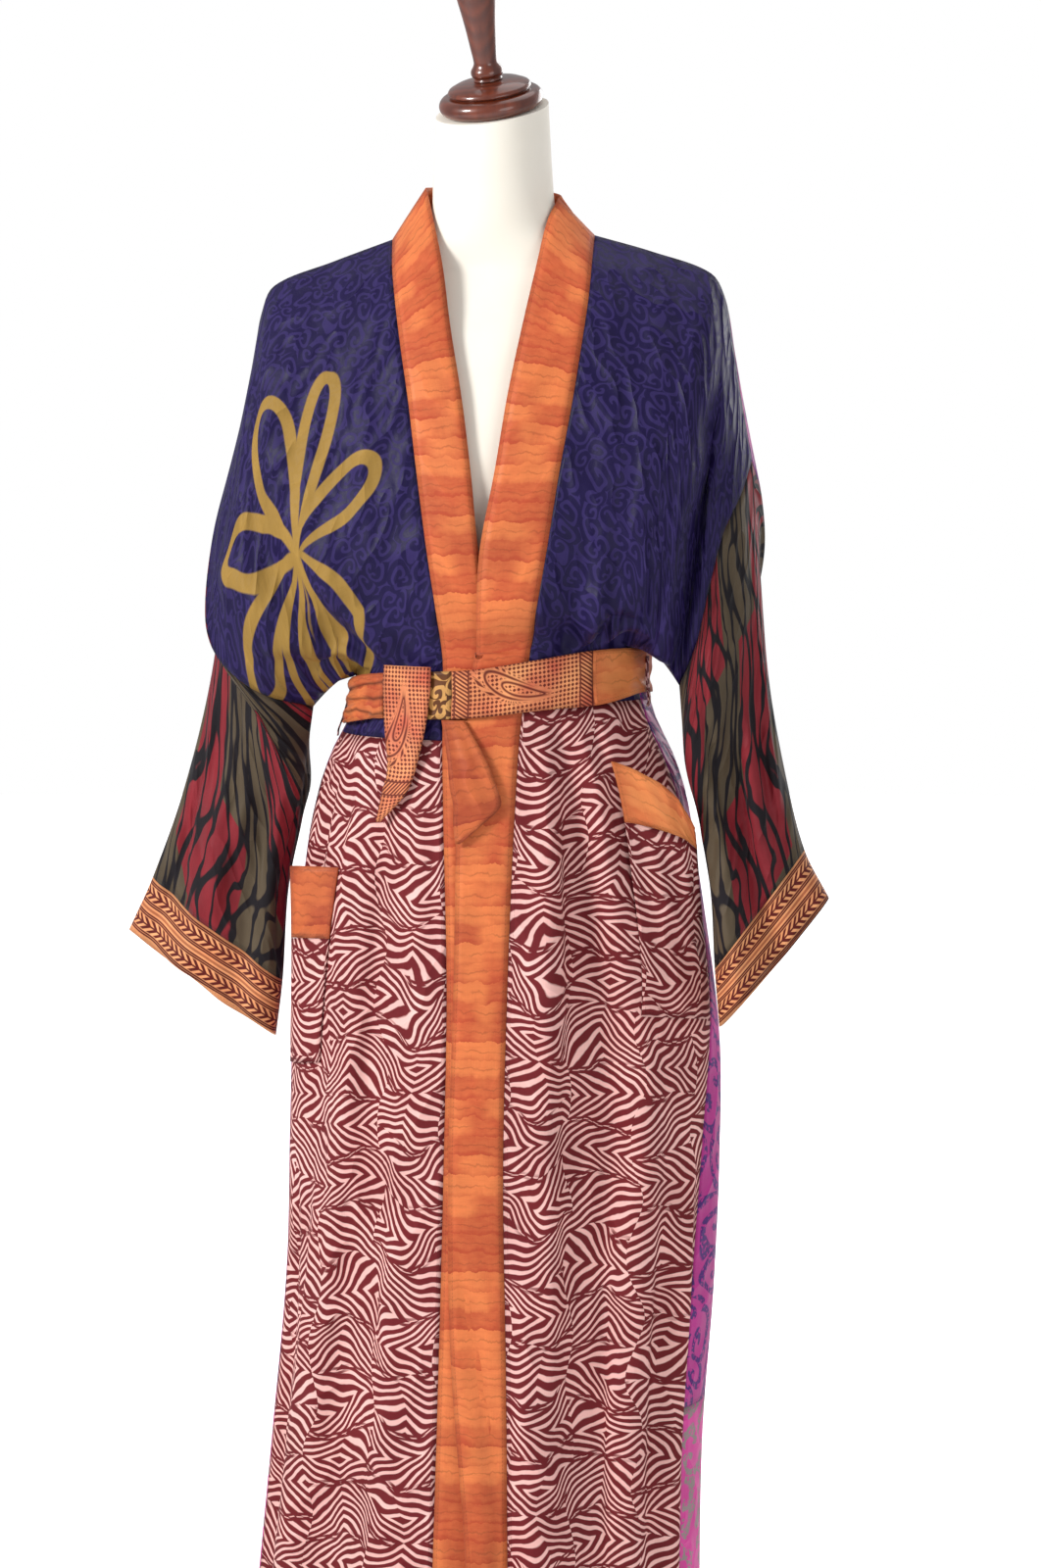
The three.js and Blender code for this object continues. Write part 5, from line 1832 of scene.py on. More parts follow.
@dataclass(frozen=True)
class Skin:
    """What a finish hands to the shader: its colour, gloss and relief, and its other inputs."""

    colour: object
    roughness: Number
    height: Value
    strength: float
    inputs: dict[str, float]


@dataclass(frozen=True)
class Finish(ABC):
    """A surface with a name and one material."""

    name: str

    @abstractmethod
    def skin(self, graph: Graph) -> Skin:
        """Lays the nodes that the shader reads.

        Args:
            graph: Where they go.

        Returns:
            What the shader reads.
        """

    def material(self) -> bpy.types.Material:
        """The finish's material, made the first time that it is asked for.

        Returns:
            The material.
        """
        found = bpy.data.materials.get(self.name)
        if found:
            return found
        made = bpy.data.materials.new(self.name)
        made.use_nodes = True
        made.node_tree.nodes.clear()
        graph = Graph(made.node_tree)
        skin = self.skin(graph)
        shader = graph.node("ShaderNodeBsdfPrincipled")
        graph.feed(shader.inputs["Base Color"], skin.colour)
        graph.feed(shader.inputs["Roughness"], skin.roughness)
        for name, value in skin.inputs.items():
            shader.inputs[name].default_value = value
        bump = graph.node("ShaderNodeBump")
        bump.inputs["Distance"].default_value = 1.0
        bump.inputs["Strength"].default_value = skin.strength
        graph.feed(bump.inputs["Height"], skin.height)
        graph.feed(shader.inputs["Normal"], bump.outputs[0])
        graph.feed(graph.node("ShaderNodeOutputMaterial").inputs["Surface"], shader.outputs[0])
        return made


Print = tuple[object, Number]


@dataclass(frozen=True)
class Silk(Finish):
    """A silk cloth: what is printed on it and how it takes the light."""

    roughness: float = 0.5
    sheen: float = 0.08
    crumple: float = 0.0006
    crumple_size: float = 0.035
    thread: float = 0.0006
    shine: float = 0.26

    @abstractmethod
    def print_on(self, graph: Graph, cloth: Socket) -> Print:
        """Gives the colour of the cloth and how much each place is less glossy than the rest.

        Args:
            graph: Where the nodes go.
            cloth: The piece's map in metres.

        Returns:
            The colour and the loss of gloss.
        """

    def skin(self, graph: Graph) -> Skin:
        """The print under the weave, the wrinkles and the seams, with painted light and shade on
        the wrinkles and painted shade in the seam grooves.
        """
        cloth, edge = graph.map("cloth"), graph.map("edge")
        colour, matt = self.print_on(graph, cloth)
        threads, slub = Weave.place(graph, Cloth=cloth, Thread=self.thread)
        (wrinkle,) = Crumple.place(graph, Cloth=cloth, Size=self.crumple_size)
        groove, seam_shade_and_stitches = Seam.place(graph, Cloth=cloth, Edge=edge)
        # Slubs vary the thread's own tone; the wrinkle term paints light on the ridges and shade
        # in the troughs; the seam term paints shade in the groove and darkens the stitches.
        tone_and_painted_shade = (slub * 0.14 + wrinkle * 0.22 + 1.0) * seam_shade_and_stitches
        return Skin(
            colour=graph.shade(colour, tone_and_painted_shade),
            roughness=slub * 0.12 + matt * 0.14 + self.roughness,
            height=wrinkle * self.crumple + groove * SEAM_DEPTH + threads * THREAD_DEPTH,
            strength=0.7,
            inputs={
                "Specular IOR Level": self.shine,
                "Sheen Weight": self.sheen,
                "Sheen Roughness": 0.4,
            },
        )


@dataclass(frozen=True)
class Petal:
    """One looped petal: its direction in degrees, its length and half its width in metres."""

    angle: float
    length: float
    half: float

    def outline(self, x: Value, y: Value, stroke: Number) -> Value:
        """The petal's outline, narrow at the flower's middle.

        Args:
            x: Place from the flower's middle, across.
            y: Place from the flower's middle, up.
            stroke: Half the width of the line.

        Returns:
            1 on the line and 0 elsewhere.
        """
        c, s = math.cos(math.radians(self.angle)), math.sin(math.radians(self.angle))
        reach = self.length / 2
        along = (x * c + y * s - reach) / reach
        off = (y * c - x * s) / self.half
        width = along.do("MULTIPLY_ADD", 0.36, 0.64).do("MAXIMUM", 0.2)
        off = off / width
        ring = (along * along + off * off).do("SQRT")
        slope = (along * along / reach**2 + off * off / (width * width) / self.half**2).do("SQRT")
        apart = abs(ring - 1.0) * ring / slope
        return 1.0 - apart.above(stroke, 0.0006)


@dataclass(frozen=True)
class Jacquard(Silk):
    """Navy satin with scrolls woven tone on tone, and an outlined flower on one front."""

    flower: tuple[float, float] | None = None
    stroke: float = 0.0058
    petals: tuple[Petal, ...] = (
        Petal(84, 0.138, 0.032),
        Petal(114, 0.142, 0.017),
        Petal(157, 0.098, 0.026),
        Petal(-112, 0.112, 0.026),
        Petal(-74, 0.15, 0.026),
        Petal(-38, 0.14, 0.024),
        Petal(3, 0.12, 0.024),
        Petal(42, 0.13, 0.026),
    )

    def print_on(self, graph: Graph, cloth: Socket) -> Print:
        """Scrolls in purple on navy, under the flower's broad outline."""
        (scroll,) = Scrolls.place(graph, Cloth=cloth, Size=0.018, Turns=2.2, Ink=0.34)
        u, v, _ = graph.parts(cloth)
        drift = graph.noise(u * 9, v * 9)
        ground = graph.blend(drift, "150e36", "1f1543")
        colour = graph.blend(scroll * 0.85, ground, "31265a")
        if self.flower is None:
            return colour, scroll
        bend = graph.noise(u * 17, v * 17, 1) - 0.5
        x, y = u - self.flower[0] + bend * 0.008, v - self.flower[1] - bend * 0.01
        away = (x * x + y * y).do("SQRT")
        width = (away * 0.1 + 0.0016).do("MINIMUM", self.stroke)
        lines = self.petals[0].outline(x, y, width)
        for petal in self.petals[1:]:
            lines = lines.do("MAXIMUM", petal.outline(x, y, width))
        return graph.blend(lines, colour, "9c7a3c"), scroll + lines


@dataclass(frozen=True)
class CloudSilk(Silk):
    """Silk dyed in cloudy bars with thin darker outlines."""

    light: str = "e07d46"
    dark: str = "b84c2d"
    line: str = "83381f"
    pitch: float = 0.017
    # rates of the gathers across and down; their troughs are darkened as painted shade
    folds: tuple[float, float] | None = None

    def print_on(self, graph: Graph, cloth: Socket) -> Print:
        """Bars of two dyes and their outlines, with painted shade deep in the folds of gathered
        cloth.
        """
        bar, line = CloudBars.place(graph, Cloth=cloth, Pitch=self.pitch)
        u, v, _ = graph.parts(cloth)
        patch = graph.noise(u * 28, v * 45, 3)
        colour = graph.blend(bar * 0.8 + patch * 0.2, self.light, self.dark)
        colour = graph.blend(line * 0.4, colour, self.line)
        # Painted shade: the colour darkens towards each trough of the gathers.
        if self.folds:
            painted_fold_shade = abs((u * self.folds[0] - v * self.folds[1]).wave(2.0))
            colour = graph.shade(colour, painted_fold_shade.above(0.3, 0.28) * 0.68 + 0.32)
        return colour, bar


@dataclass(frozen=True)
class FlameSilk(Silk):
    """Red and taupe blocks under dark lines that part and meet like flames."""

    block_width: float = 0.085
    block_height: float = 0.105
    lane_width: float = 0.0135
    leaf_length: float = 0.12

    def print_on(self, graph: Graph, cloth: Socket) -> Print:
        """Blocks with uneven edges, then long leaf-shaped lines."""
        u, v, _ = graph.parts(cloth)
        step = (v / self.block_height).do("FLOOR")
        shift = u / self.block_width + step * 0.5 + 0.18
        block = shift.wave(2.0).above(0.2, 0.02)
        fade = graph.noise(u * 40, v * 18)
        red = graph.blend(fade, "5f121c", "98252f")
        taupe = graph.blend(fade, "403425", "5e503d")
        colour = graph.blend(block, red, taupe)
        drift = graph.noise(u * 24, v * 14)
        lane = (u / self.lane_width + drift * 2.2 + v.wave(0.17) * 0.5) * math.pi
        along = (v / self.leaf_length + drift * 1.6 + u / 0.11) * (2 * math.pi)
        leaf = lane.do("COSINE") + along.do("COSINE") * 0.62
        brush = graph.noise(u * 160, v * 40) * 0.14
        line = 1.0 - abs(leaf).above(brush + 0.4, 0.06)
        return graph.blend(line, colour, "140e14"), line


@dataclass(frozen=True)
class BorderSilk(Silk):
    """A gold-orange border with two rows of leaves between maroon lines."""

    rows: tuple[float, ...] = (0.012, 0.038)
    middle: float = 0.025
    reach: float = 0.0058
    lines: tuple[float, ...] = (0.0072, 0.0092)

    def print_on(self, graph: Graph, cloth: Socket) -> Print:
        """Lines along the border and two rows of leaf chevrons."""
        u, v, _ = graph.parts(cloth)
        down = v * -1.0
        fade = graph.noise(u * 30, v * 60)
        colour = graph.blend(fade, "d67c4c", "f2b27c")
        for row in self.rows:
            away = abs(down - row)
            inside = 1.0 - away.above(self.reach, 0.0005)
            leaf = (u / 0.0078 + away / 0.0062).wave(1.0).above(-0.1, 0.25)
            spine = 1.0 - away.above(0.0008, 0.0003)
            colour = graph.blend(inside * leaf.do("MAXIMUM", spine), colour, "5a120e")
            for edge in self.lines:
                line = 1.0 - abs(away - edge).above(0.0008, 0.0003)
                colour = graph.blend(line, colour, "5a120e")
        middle = 1.0 - abs(down - self.middle).above(0.0012, 0.0003)
        return graph.blend(middle * 0.7, colour, "8c3a22"), fade


@dataclass(frozen=True)
class PrintedSilk(Silk):
    """Maroon lines on pale pink: columns of nested diamonds and stacked chevrons."""

    ink: str = "680a17"
    ground: str = "fdcdc5"
    cell: tuple[float, float] = (64.0, 50.0)
    pitch: float = 8.3

    def print_on(self, graph: Graph, cloth: Socket) -> Print:
        """Warped cells, each with its own nest of lines, parted by wandering leaf lines."""
        u, v, _ = graph.parts(cloth)
        u, v = u * 1000.0, v * 1000.0
        wide, high = self.cell
        wander = graph.noise(u / 70, v / 70, 1) - 0.5
        x = u + v.wave(104.0) * 5.0 + wander * 14
        y = v + u.wave(88.0) * 5.0 + wander * 12
        column = (x / wide).do("FLOOR")
        odd = (column * 0.5).do("FRACT") * 2.0
        bend = graph.noise(u / 38, v / 60, 1) - 0.5
        tall = y + odd * 24.0 + x.wave(128.0) * 9.0 + bend * 30.0
        row = (tall / high).do("FLOOR")
        across = ((x / wide).do("FRACT") - 0.5) * wide
        down = ((tall / high).do("FRACT") - 0.5) * high
        kinds = (
            across * 0.72 + abs(down),
            abs(across) * 0.55 + abs(down),
            abs(down) - across * 0.72,
            down + abs(across) * 0.66,
            down * 0.9 - across * 0.5,
            abs(down + across * 0.3) - across * 0.6,
        )
        pick = (column * 0.3819 + row * 0.6247).do("FRACT")
        mixed = kinds[0]
        for number, kind in enumerate(kinds[1:], 1):
            mixed = mixed + (kind - mixed) * pick.above(number / len(kinds), 0.002)
        ragged = graph.noise(u / 9, v / 9, 1) - 0.5
        mixed = mixed + ragged * 1.6
        leaf = abs(abs(down) - (high / 2 - 2.0))
        vein = (1.0 - leaf.above(1.2, 0.35)) * (bend + 0.5).above(0.44, 0.04)
        ink = mixed.wave(self.pitch).above(-0.28, 0.24).do("MAXIMUM", vein)
        fade = graph.noise(u / 60, v / 60)
        ground = graph.blend(fade, "e8aca5", self.ground)
        return graph.blend(ink * 0.97, ground, self.ink), ink * -0.5


@dataclass(frozen=True)
class ScrollSilk(Silk):
    """A bright ground with curling lines or a loose speckle in a second colour."""

    ground: str = "b9308a"
    ink: str = "3a2470"
    size: float = 0.05
    turns: float = 2.6
    share: float = 0.36

    def print_on(self, graph: Graph, cloth: Socket) -> Print:
        """Broken curls on the ground."""
        u, v, _ = graph.parts(cloth)
        (scroll,) = Scrolls.place(
            graph, Cloth=cloth, Size=self.size, Turns=self.turns, Ink=self.share
        )
        gaps = graph.noise(u * 260, v * 260, 1).above(0.42, 0.05)
        fade = graph.noise(u * 12, v * 12)
        ground = graph.shade(paint(self.ground), fade * 0.3 + 0.85)
        return graph.blend(scroll * gaps * 0.92, ground, self.ink), scroll


@dataclass(frozen=True)
class BeltSilk(Silk):
    """A border print: a net of small diamonds with drops and cross bars in it, or curls."""

    ground: str = "c4573f"
    glow: str = "ee9f68"
    ink: str = "5c130f"
    net: float = 0.0076
    bar: float = 0.0062
    curls: bool = False
    upright: bool = False
    drops: tuple[tuple[float, float], ...] = ()
    bars: tuple[float, ...] = ()

    def print_on(self, graph: Graph, cloth: Socket) -> Print:
        """The net with its drops and bars, or the curls."""
        u, v, _ = graph.parts(cloth)
        if self.upright:
            u, v = v, u * -1.0
        fade = graph.noise(u * 26, v * 26).above(0.5, 0.2)
        colour = graph.blend(fade, self.ground, self.glow)
        if self.curls:
            (mask,) = Scrolls.place(graph, Cloth=cloth, Size=0.015, Turns=1.6, Ink=0.42)
        else:
            one = ((u + v) / self.net).wave(1.0)
            two = ((u - v) / self.net).wave(1.0)
            mask = (one * two).above(0.14, 0.16)
        for place, rise_by in self.drops:
            x, y = u - place, v - rise_by
            y = y - x * x * 6.0
            rays = y.do("ARCTAN2", x + 0.03).wave(0.26).above(0.0, 0.3)
            for length, half, line, share in (
                (0.064, 0.018, 0.0018, rays),
                (0.053, 0.0128, 0.0012, 1.0),
                (0.038, 0.0068, 0.001, 1.0),
            ):
                drop = Petal(172, length, half)
                mask = mask * (1.0 - drop.outline(x, y, 0.0026))
                mask = mask.do("MAXIMUM", drop.outline(x, y, line) * share)
        for place in self.bars:
            away = abs(u - place)
            bar = 1.0 - away.above(self.bar, 0.0003)
            rule = 1.0 - abs(away - self.bar).above(0.0008, 0.0003)
            hatch = (u * 0.7 + v).wave(0.0036).above(-0.1, 0.3)
            mask = (mask * (1.0 - bar) + bar * hatch).do("MAXIMUM", rule)
        return graph.blend(mask * 0.92, colour, self.ink), mask


@dataclass(frozen=True)
class FormCover(Finish):
    """The smooth cotton that covers the dress form."""

    name: str = "form_cotton"

    def skin(self, graph: Graph) -> Skin:
        """Off-white cotton with a fine weave."""
        x, y, z = graph.parts(graph.node("ShaderNodeTexCoord").outputs["Object"])
        fade = graph.noise(x * 14, y * 14, 3, z=z * 14)
        threads = (x + y).wave(0.0009) * z.wave(0.0009)
        return Skin(
            colour=graph.blend(fade, "f8f0df", "fffaef"),
            roughness=fade * 0.1 + 0.8,
            height=threads * 0.00002 + fade * 0.0002,
            strength=0.4,
            inputs={"Sheen Weight": 0.15},
        )


@dataclass(frozen=True)
class Lacquer(Finish):
    """Turned hardwood under a red-brown gloss lacquer."""

    name: str = "lacquered_wood"

    def skin(self, graph: Graph) -> Skin:
        """Long grain and rings under a clear coat."""
        x, y, z = graph.parts(graph.node("ShaderNodeTexCoord").outputs["Object"])
        grain = graph.noise(x * 160, y * 160, 4, 0.6, z * 14)
        ring = ((x * x + y * y).do("SQRT") + grain * 0.004).wave(0.007)
        colour = graph.blend(grain, "43140b", "8a3c1c")
        return Skin(
            colour=graph.blend(ring * 0.2 + 0.2, colour, "2c0d08"),
            roughness=grain * 0.15 + 0.28,
            height=grain * 0.0002,
            strength=0.3,
            inputs={"Coat Weight": 0.8, "Coat Roughness": 0.08},
        )


@dataclass(frozen=True)
class Ring:
    """One ring of a piece that is drawn up from a circle."""

    centre: Vector
    half: float
    depth: float
    tilt: float = 0.0
    roll: float = 0.0


class DrawnUp:
    """A hard piece drawn up from a circle, ring by ring."""

    @staticmethod
    def make(name: str, rings: Sequence[Ring], sides: int) -> bpy.types.Object:
        """Adds a circle, then extrudes, resizes and turns it for each ring.

        Args:
            name: Name of the piece.
            rings: The rings from the bottom up, in millimetres and radians.
            sides: Corners of each ring.

        Returns:
            The piece, closed at both ends, with its place in its mesh.
        """
        bpy.ops.object.select_all(action="DESELECT")
        first = rings[0]
        bpy.ops.mesh.primitive_circle_add(
            vertices=sides, radius=first.half * MM, fill_type="NGON", location=first.centre * MM
        )
        piece = bpy.context.object
        piece.name = name
        bpy.ops.object.transform_apply(location=True, rotation=True, scale=True)
        bpy.ops.object.mode_set(mode="EDIT")
        bpy.ops.mesh.select_all(action="SELECT")
        bpy.ops.transform.resize(
            value=(1, first.depth / first.half, 1), center_override=first.centre * MM
        )
        for low, high in zip(rings, rings[1:]):
            move = (high.centre - low.centre) * MM
            bpy.ops.mesh.extrude_region_move(TRANSFORM_OT_translate={"value": move})
            middle = high.centre * MM
            bpy.ops.transform.resize(
                value=(high.half / low.half, high.depth / low.depth, 1), center_override=middle
            )
            for axis, turn in (("X", high.tilt - low.tilt), ("Y", high.roll - low.roll)):
                if abs(turn) > 1e-6:
                    bpy.ops.transform.rotate(
                        value=-turn, orient_axis=axis, center_override=middle
                    )
        bpy.ops.mesh.select_all(action="SELECT")
        bpy.ops.mesh.normals_make_consistent(inside=False)
        bpy.ops.object.mode_set(mode="OBJECT")
        return piece


class DressForm:
    """The covered torso with its neck."""

    sides: int = 72

    def build(self) -> None:
        """Draws the torso up ring by ring and covers it."""
        heights = steps(34, TORSO_FOOT, SHOULDER_Z)
        heights += steps(30, SHOULDER_Z, NECK_FOOT)[1:] + steps(12, NECK_FOOT, NECK_TOP)[1:]
        rings = []
        for z in heights:
            r = FORM.at(z)
            centre = Vector((r.x, r.y + (r.back - r.front) / 2, z))
            tilt, roll = math.radians(r.tilt), math.radians(NECK_ROLL * r.tilt / NECK_TILT)
            rings.append(Ring(centre, r.half, (r.front + r.back) / 2, tilt, roll))
        piece = DrawnUp.make("cover_torso", rings, self.sides)
        only(piece)
        bpy.ops.object.shade_smooth_by_angle(angle=math.radians(40))
        piece.data.materials.append(FormCover().material())
        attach(piece, "root")
        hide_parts("form_torso")
        log.info("cover_torso: %d faces", len(piece.data.polygons))


EDGE_ROUNDING = 0.0012


@dataclass
class Turning:
    """A turned wooden piece, from radii and heights on its own axis."""

    node: str
    profile: tuple[tuple[float, float], ...]
    place: Matrix = field(default_factory=Matrix)
    sides: int = 64

    def build(self) -> None:
        """Draws the profile up, rounds it, and moves the mesh to its place."""
        rings = [Ring(Vector((0, 0, h)), r, r) for r, h in self.profile]
        piece = DrawnUp.make(f"wood_{self.node}", rings, self.sides)
        only(piece)
        edges = piece.modifiers.new("edges", "BEVEL")
        edges.width, edges.segments, edges.limit_method = EDGE_ROUNDING, 2, "ANGLE"
        edges.angle_limit = math.radians(32)
        bpy.ops.object.modifier_apply(modifier=edges.name)
        bpy.ops.object.shade_smooth_by_angle(angle=math.radians(30))
        piece.data.transform(self.place)
        piece.data.materials.append(Lacquer().material())
        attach(piece, "root")
        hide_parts(self.node)
        log.info("wood_%s: %d faces", self.node, len(piece.data.polygons))


class Woodwork:
    """The cap and finial on the neck, and the pole and foot under the form."""

    def build(self) -> None:
        """Turns all four pieces."""
        plate = FORM.at(NECK_TOP)
        turn = Euler((math.radians(NECK_TILT), math.radians(NECK_ROLL), 0)).to_matrix().to_4x4()
        neck = Matrix.Translation(Vector((plate.x, plate.y, NECK_TOP + 0.3)) * MM) @ turn
        bead = 8.0
        turns = [math.radians(degrees) for degrees in range(-90, 91, 12)]
        rim = [
            (CAP_RADIUS - bead + bead * math.cos(a), bead + bead * math.sin(a)) for a in turns
        ]
        cap = (
            *rim, (35, 16), (34, 16.5), (36.5, 17.6), (37, 19),
            (35.5, 21.5), (29, 24.5), (20, 26.5), (4, 27),
        )
        finial = Table(
            "h r",
            (27.3, 13), (29.5, 12), (32, 14), (36, 14),
            (40, 11.5), (43, 10.5), (54, 11.5), (76, 14),
            (96, 17), (110, 19.5), (113, 21.5), (118, 21.5),
            (124, 19.5), (132, 14), (137, 7), (138, 1.5),
        )
        low, top = finial.rows[0][0], finial.rows[-1][0]
        curve = [(finial.at(h).r, h) for h in steps(80, low, top)]
        Turning("form_cap", cap, neck).build()
        Turning("form_finial", tuple(curve), neck).build()
        foot = (
            (185, 0), (185, 16), (184, 20), (181, 23), (177, 24), (100, 27), (40, 30), (24, 44)
        )
        pole = ((14, 44.3), (14, 707.7), (30, 713.7), (30, 721.7))
        Turning("stand_base", foot, sides=96).build()
        Turning("stand_pole", pole).build()


class Duster:
    """The whole garment: its panels in the order in which a maker would sew them."""

    def __init__(self) -> None:
        """Draws the pattern and chooses the silks."""
        self.pattern = Pattern()
        self.bodice = Jacquard(
            "navy_jacquard", roughness=0.46, sheen=0.03, crumple=0.0062, shine=0.17
        )
        self.bands = CloudSilk("cloud_silk", roughness=0.52, crumple=0.0012, crumple_size=0.05)
        self.gold = CloudSilk(
            "gold_silk", 0.48, crumple=0.0022,
            light="e28a4e", dark="cb6438", line="8a4a24", pitch=0.022,
        )
        # The gold trim silk again in darker dyes, as painted shade on the right pocket's facing
        # and the plain belt end.
        self.shaded_trim = CloudSilk(
            "shaded_trim_silk", 0.5, crumple=0.003,
            light="cc6a3b", dark="9c3e25", line="6e2e1a", pitch=0.02,
        )
        # The pleated belt end, with painted shade in the troughs of its gathers.
        self.gathered = CloudSilk(
            "gathered_silk", 0.5, crumple=0.003, light="d87a45", dark="b04a2b", folds=(4.8, 72.0)
        )
        self.flame = FlameSilk("flame_silk", roughness=0.6, crumple=0.005)
        self.border = BorderSilk("border_silk", roughness=0.55)
        self.printed = PrintedSilk(
            "printed_silk", 0.74, sheen=0.0, crumple=0.0075, crumple_size=0.06, shine=0.1
        )
        self.back = ScrollSilk("magenta_silk", roughness=0.46, crumple=0.004)
        self.hem = ScrollSilk(
            "pink_silk", 0.46, crumple=0.004,
            ground="d8429a", ink="8d8c84", size=0.03, turns=1.2, share=0.3,
        )
        self.belt_net = BeltSilk(
            "net_silk", roughness=0.52, drops=((0.082, -0.03),), bars=(0.009, 0.122)
        )
        self.tail_net = BeltSilk(
            "tail_silk", roughness=0.52, upright=True, drops=((-0.028, -0.024),), bars=(-0.108,)
        )
        self.belt_curl = BeltSilk(
            "curl_silk", roughness=0.5, ground="4e2a12", glow="643818", ink="d09a58", curls=True
        )

    def flower_place(self, x: float, z: float) -> tuple[float, float]:
        """Place of the flower's middle on its panel's map, from a place in front of it.

        Args:
            x: Across, in millimetres.
            z: Height, in millimetres.

        Returns:
            The map's two parts, in metres.
        """
        rows = self.pattern.fronts[Side.RIGHT][: self.pattern.waist_row + 1]
        panel = Cloth("bodice_front_right", rows, self.bodice)
        spots = ((j, i) for j in range(panel.height) for i in range(panel.width))
        j, i = min(spots, key=lambda s: (rows[s[0]][s[1]].xz - Vector((x, z))).length)
        return panel.across[j][i] * MM, -panel.down[i][j] * MM

    def sewn(self) -> Iterator[Cloth]:
        """The panels that meet edge to edge.

        Yields:
            One panel after another.
        """
        waist = self.pattern.waist_row
        flower = replace(
            self.bodice, name="flowered_jacquard", flower=self.flower_place(*FLOWER)
        )
        for side in (Side.RIGHT, Side.LEFT):
            name, sign = side.value, side.sign
            rows, band = self.pattern.fronts[side], self.pattern.bands[side]
            sleeve = self.pattern.sleeves[side]
            navy = flower if side is Side.RIGHT else self.bodice
            yield Cloth(f"bodice_front_{name}", rows[: waist + 1], navy, sign)
            yield Cloth(f"skirt_front_{name}", rows[waist:], self.printed, sign, fullness=2.3)
            yield Cloth(f"band_{name}", band, self.bands, -sign, wall=1.3, fullness=1.0)
            yield Cloth(f"sleeve_{name}", sleeve[: SLEEVE_ROWS + 1], self.flame, -sign, True)
            yield Cloth(f"cuff_{name}", sleeve[SLEEVE_ROWS:], self.border, -sign, True)
        back = self.pattern.back
        seam = len(back) - 1 - HEM_ROWS
        yield Cloth("bodice_back", back[: waist + 1], self.back, -1)
        yield Cloth("skirt_back_upper", back[waist : seam + 1], self.back, -1)
        yield Cloth("skirt_back_lower", back[seam:], self.hem, -1)
        yield Cloth("band_neck", self.pattern.neck_band(), self.bands, -1, wall=1.3)

    @staticmethod
    def gathers(along: float, down: float) -> float:
        """Rise of the gathered end of the belt, by the share along and the share down.

        Args:
            along: Share along the stretch.
            down: Share down it.

        Returns:
            The rise, in millimetres.
        """
        drawn = 7.0 * abs(math.sin(math.pi * (3.1 * down + 0.4 * along))) ** 0.6 - 1.2
        knot = 4.0 * math.exp(-(((along - 0.93) / 0.14) ** 2)) * math.sin(math.pi * down)
        return drawn * math.sin(math.pi * min(along * 1.2, 1)) ** 0.5 + knot

    @staticmethod
    def soft(along: float, down: float) -> float:
        """Rise of the smooth stretches of the belt, by the share along and the share down."""
        return 0.5 * math.sin(3.1 * math.pi * down) * math.sin(5 * along + 1)

    def laid_on(self) -> Iterator[Cloth]:
        """The pockets, the belt with its ends, and the small loops.

        Yields:
            One panel after another.
        """
        for side in (Side.RIGHT, Side.LEFT):
            strip, pocket = self.pattern.pocket(side)
            # The right facing wears the darker trim: painted shade.
            facing = self.shaded_trim if side is Side.RIGHT else self.gold
            yield Cloth(f"pocket_facing_{side.value}", strip, facing, side.sign)
            yield Cloth(f"pocket_{side.value}", pocket, self.printed, side.sign)
        for name, start, end, finish, rise_at in (
            ("belt_pleats", -77, -38, self.gathered, self.gathers),
            ("belt_ornament", -38, -7, self.belt_curl, self.soft),
            ("belt_print", -7, 46, self.belt_net, self.soft),
            ("belt_back", 46, 283, self.gold, self.soft),
        ):
            yield Cloth(name, self.pattern.belt(start, end, rise_at), finish, wall=1.8)
        for name, table, roll, finish in (
            ("belt_tail_print", TAIL_PRINT, 0.8, self.tail_net),
            ("belt_tail_plain", TAIL_PLAIN, 1.0, self.shaded_trim),
        ):
            yield Cloth(name, self.pattern.tail(table, roll), finish, wall=1.4)
        for name, angle, top in (("right", -86, 2), ("left", 80, 12)):
            yield Cloth(f"belt_loop_{name}", self.pattern.loop(angle, top), self.printed)

    def build(self) -> None:
        """Makes and dresses every panel."""
        for cloth in chain(self.sewn(), self.laid_on()):
            cloth.build().dress()


LAMPS_AIM = (0.0, 0.0, 0.95)


@dataclass(frozen=True)
class Lamp:
    """A soft studio light: where it stands, its size and power, aimed at the garment."""

    name: str
    place: tuple[float, float, float]
    size: float
    power: float

    def hang(self) -> None:
        """Adds the light and aims it."""
        light = bpy.data.lights.new(self.name, "AREA")
        light.shape, light.size, light.energy = "DISK", self.size, self.power
        aim(added(self.name, light), self.place, LAMPS_AIM)


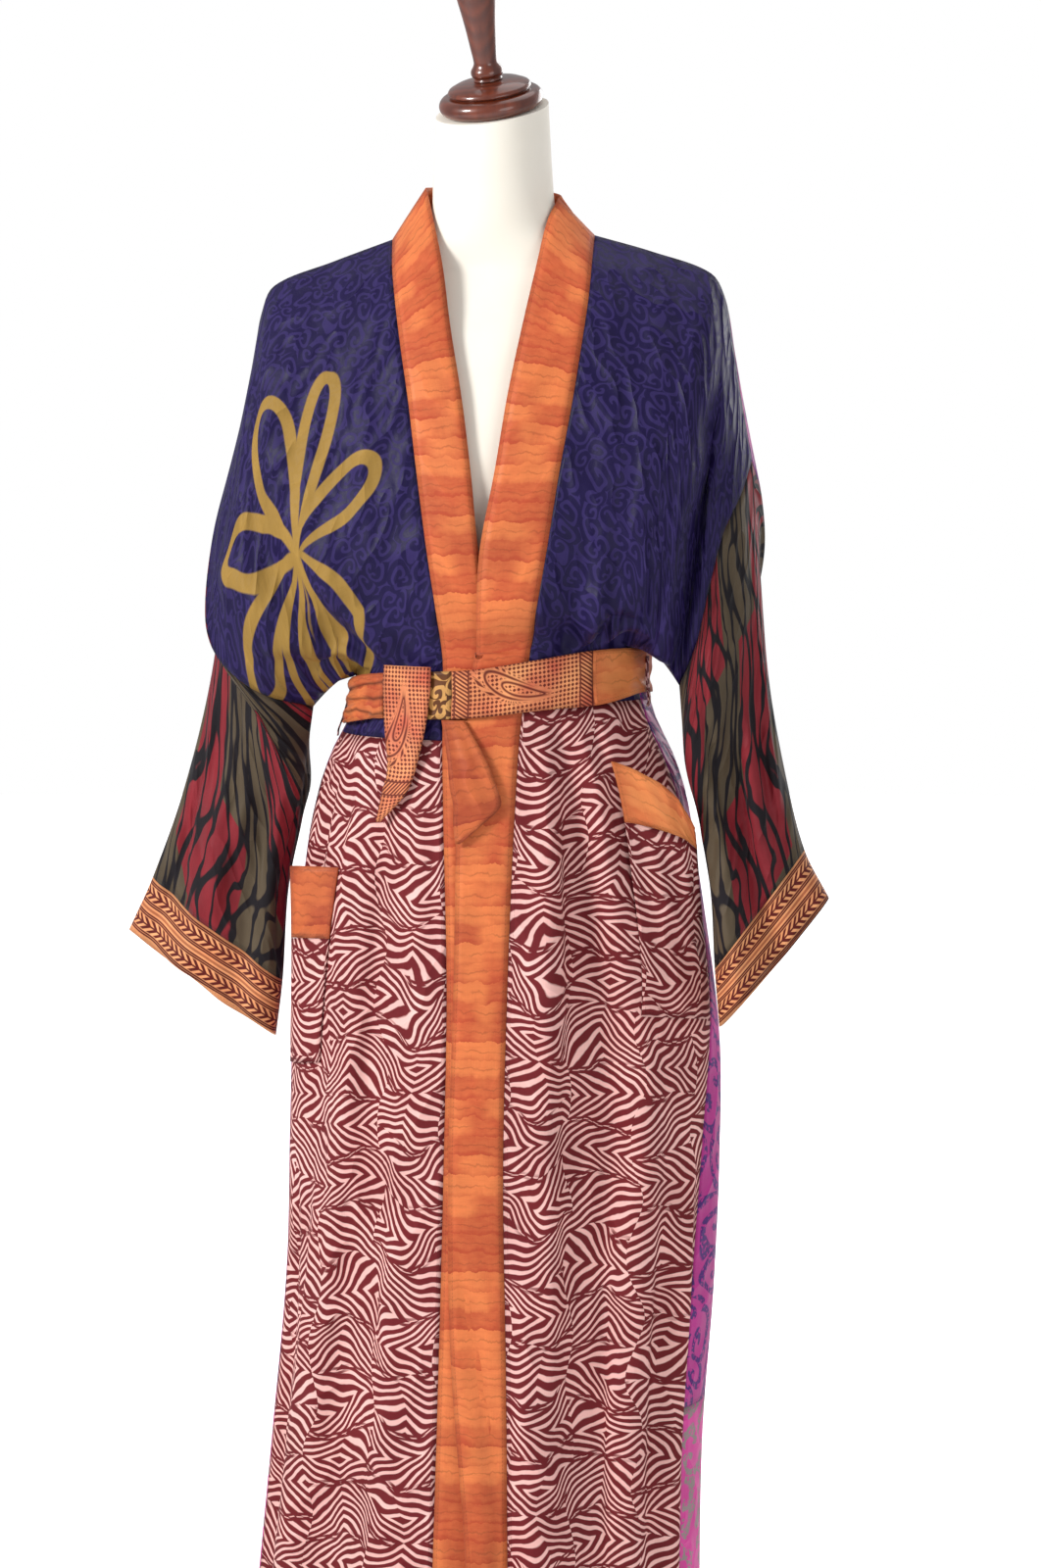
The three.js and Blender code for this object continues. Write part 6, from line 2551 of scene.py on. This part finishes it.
@dataclass(frozen=True)
class Studio:
    """White surroundings, a pale floor, soft lights and the camera."""

    eye: tuple[float, float, float] = (0.5557, -3.1514, 1.2)
    middle: tuple[float, float, float] = (0.0, 0.0, 0.892)
    lens: float = 82.2
    shift: float = 0.0178
    lamps: tuple[Lamp, ...] = (
        Lamp("key", (-2.3, -2.1, 2.4), 1.0, 92),
        Lamp("fill", (2.2, -2.6, 1.3), 2.0, 20),
        Lamp("top", (0.3, 0.4, 3.4), 2.2, 12),
        Lamp("behind", (1.2, 2.6, 2.0), 2.0, 30),
    )

    def build(self) -> None:
        """Sets up the surroundings and the camera."""
        self.surround()
        self.floor()
        for lamp in self.lamps:
            lamp.hang()
        data = bpy.data.cameras.new("camera")
        data.sensor_fit, data.sensor_height, data.lens = "VERTICAL", 36, self.lens
        data.shift_x = self.shift
        camera = added("camera", data)
        aim(camera, self.eye, self.middle)
        bpy.context.scene.camera = camera
        bpy.context.scene.view_settings.view_transform = "Standard"

    def surround(self) -> None:
        """White to the camera, and a softer white as light."""
        world = bpy.data.worlds.new("surround")
        world.use_nodes = True
        world.node_tree.nodes.clear()
        graph = Graph(world.node_tree)
        seen, cast = graph.node("ShaderNodeBackground"), graph.node("ShaderNodeBackground")
        seen.inputs["Color"].default_value = (1, 1, 1, 1)
        cast.inputs["Color"].default_value = (0.96, 0.98, 1, 1)
        cast.inputs["Strength"].default_value = 0.42
        either = graph.node("ShaderNodeMixShader")
        path = graph.node("ShaderNodeLightPath")
        graph.feed(either.inputs[0], path.outputs["Is Camera Ray"])
        graph.feed(either.inputs[1], cast.outputs[0])
        graph.feed(either.inputs[2], seen.outputs[0])
        graph.feed(graph.node("ShaderNodeOutputWorld").inputs["Surface"], either.outputs[0])
        bpy.context.scene.world = world

    def floor(self) -> None:
        """A plain pale floor."""
        bpy.ops.object.select_all(action="DESELECT")
        bpy.ops.mesh.primitive_circle_add(vertices=96, radius=9, fill_type="NGON")
        floor = bpy.context.object
        floor.name = "floor"
        made = bpy.data.materials.new("floor_paint")
        made.use_nodes = True
        shader = made.node_tree.nodes["Principled BSDF"]
        shader.inputs["Base Color"].default_value = (0.93, 0.93, 0.93, 1)
        shader.inputs["Roughness"].default_value = 0.9
        shader.inputs["Emission Color"].default_value = (1, 1, 1, 1)
        path = made.node_tree.nodes.new("ShaderNodeLightPath")
        seen = path.outputs["Is Camera Ray"]
        made.node_tree.links.new(seen, shader.inputs["Emission Strength"])
        floor.data.materials.append(made)
        floor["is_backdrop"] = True


def write_sizes(first: tuple[Vector, Vector]) -> None:
    """Lays the frame's box and the visible model's box side by side.

    Args:
        first: The box right after the frame was loaded.
    """
    boxes = {"cad": first, "visual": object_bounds()}
    plain = {name: [list(corner) for corner in box] for name, box in boxes.items()}


def main() -> None:
    """Builds the studio, the form and the garment."""
    logging.basicConfig(level=logging.INFO, format="%(name)s: %(message)s")
    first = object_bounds()
    Studio().build()
    DressForm().build()
    Woodwork().build()
    Duster().build()
    write_sizes(first)


if __name__ == "__main__":
    main()
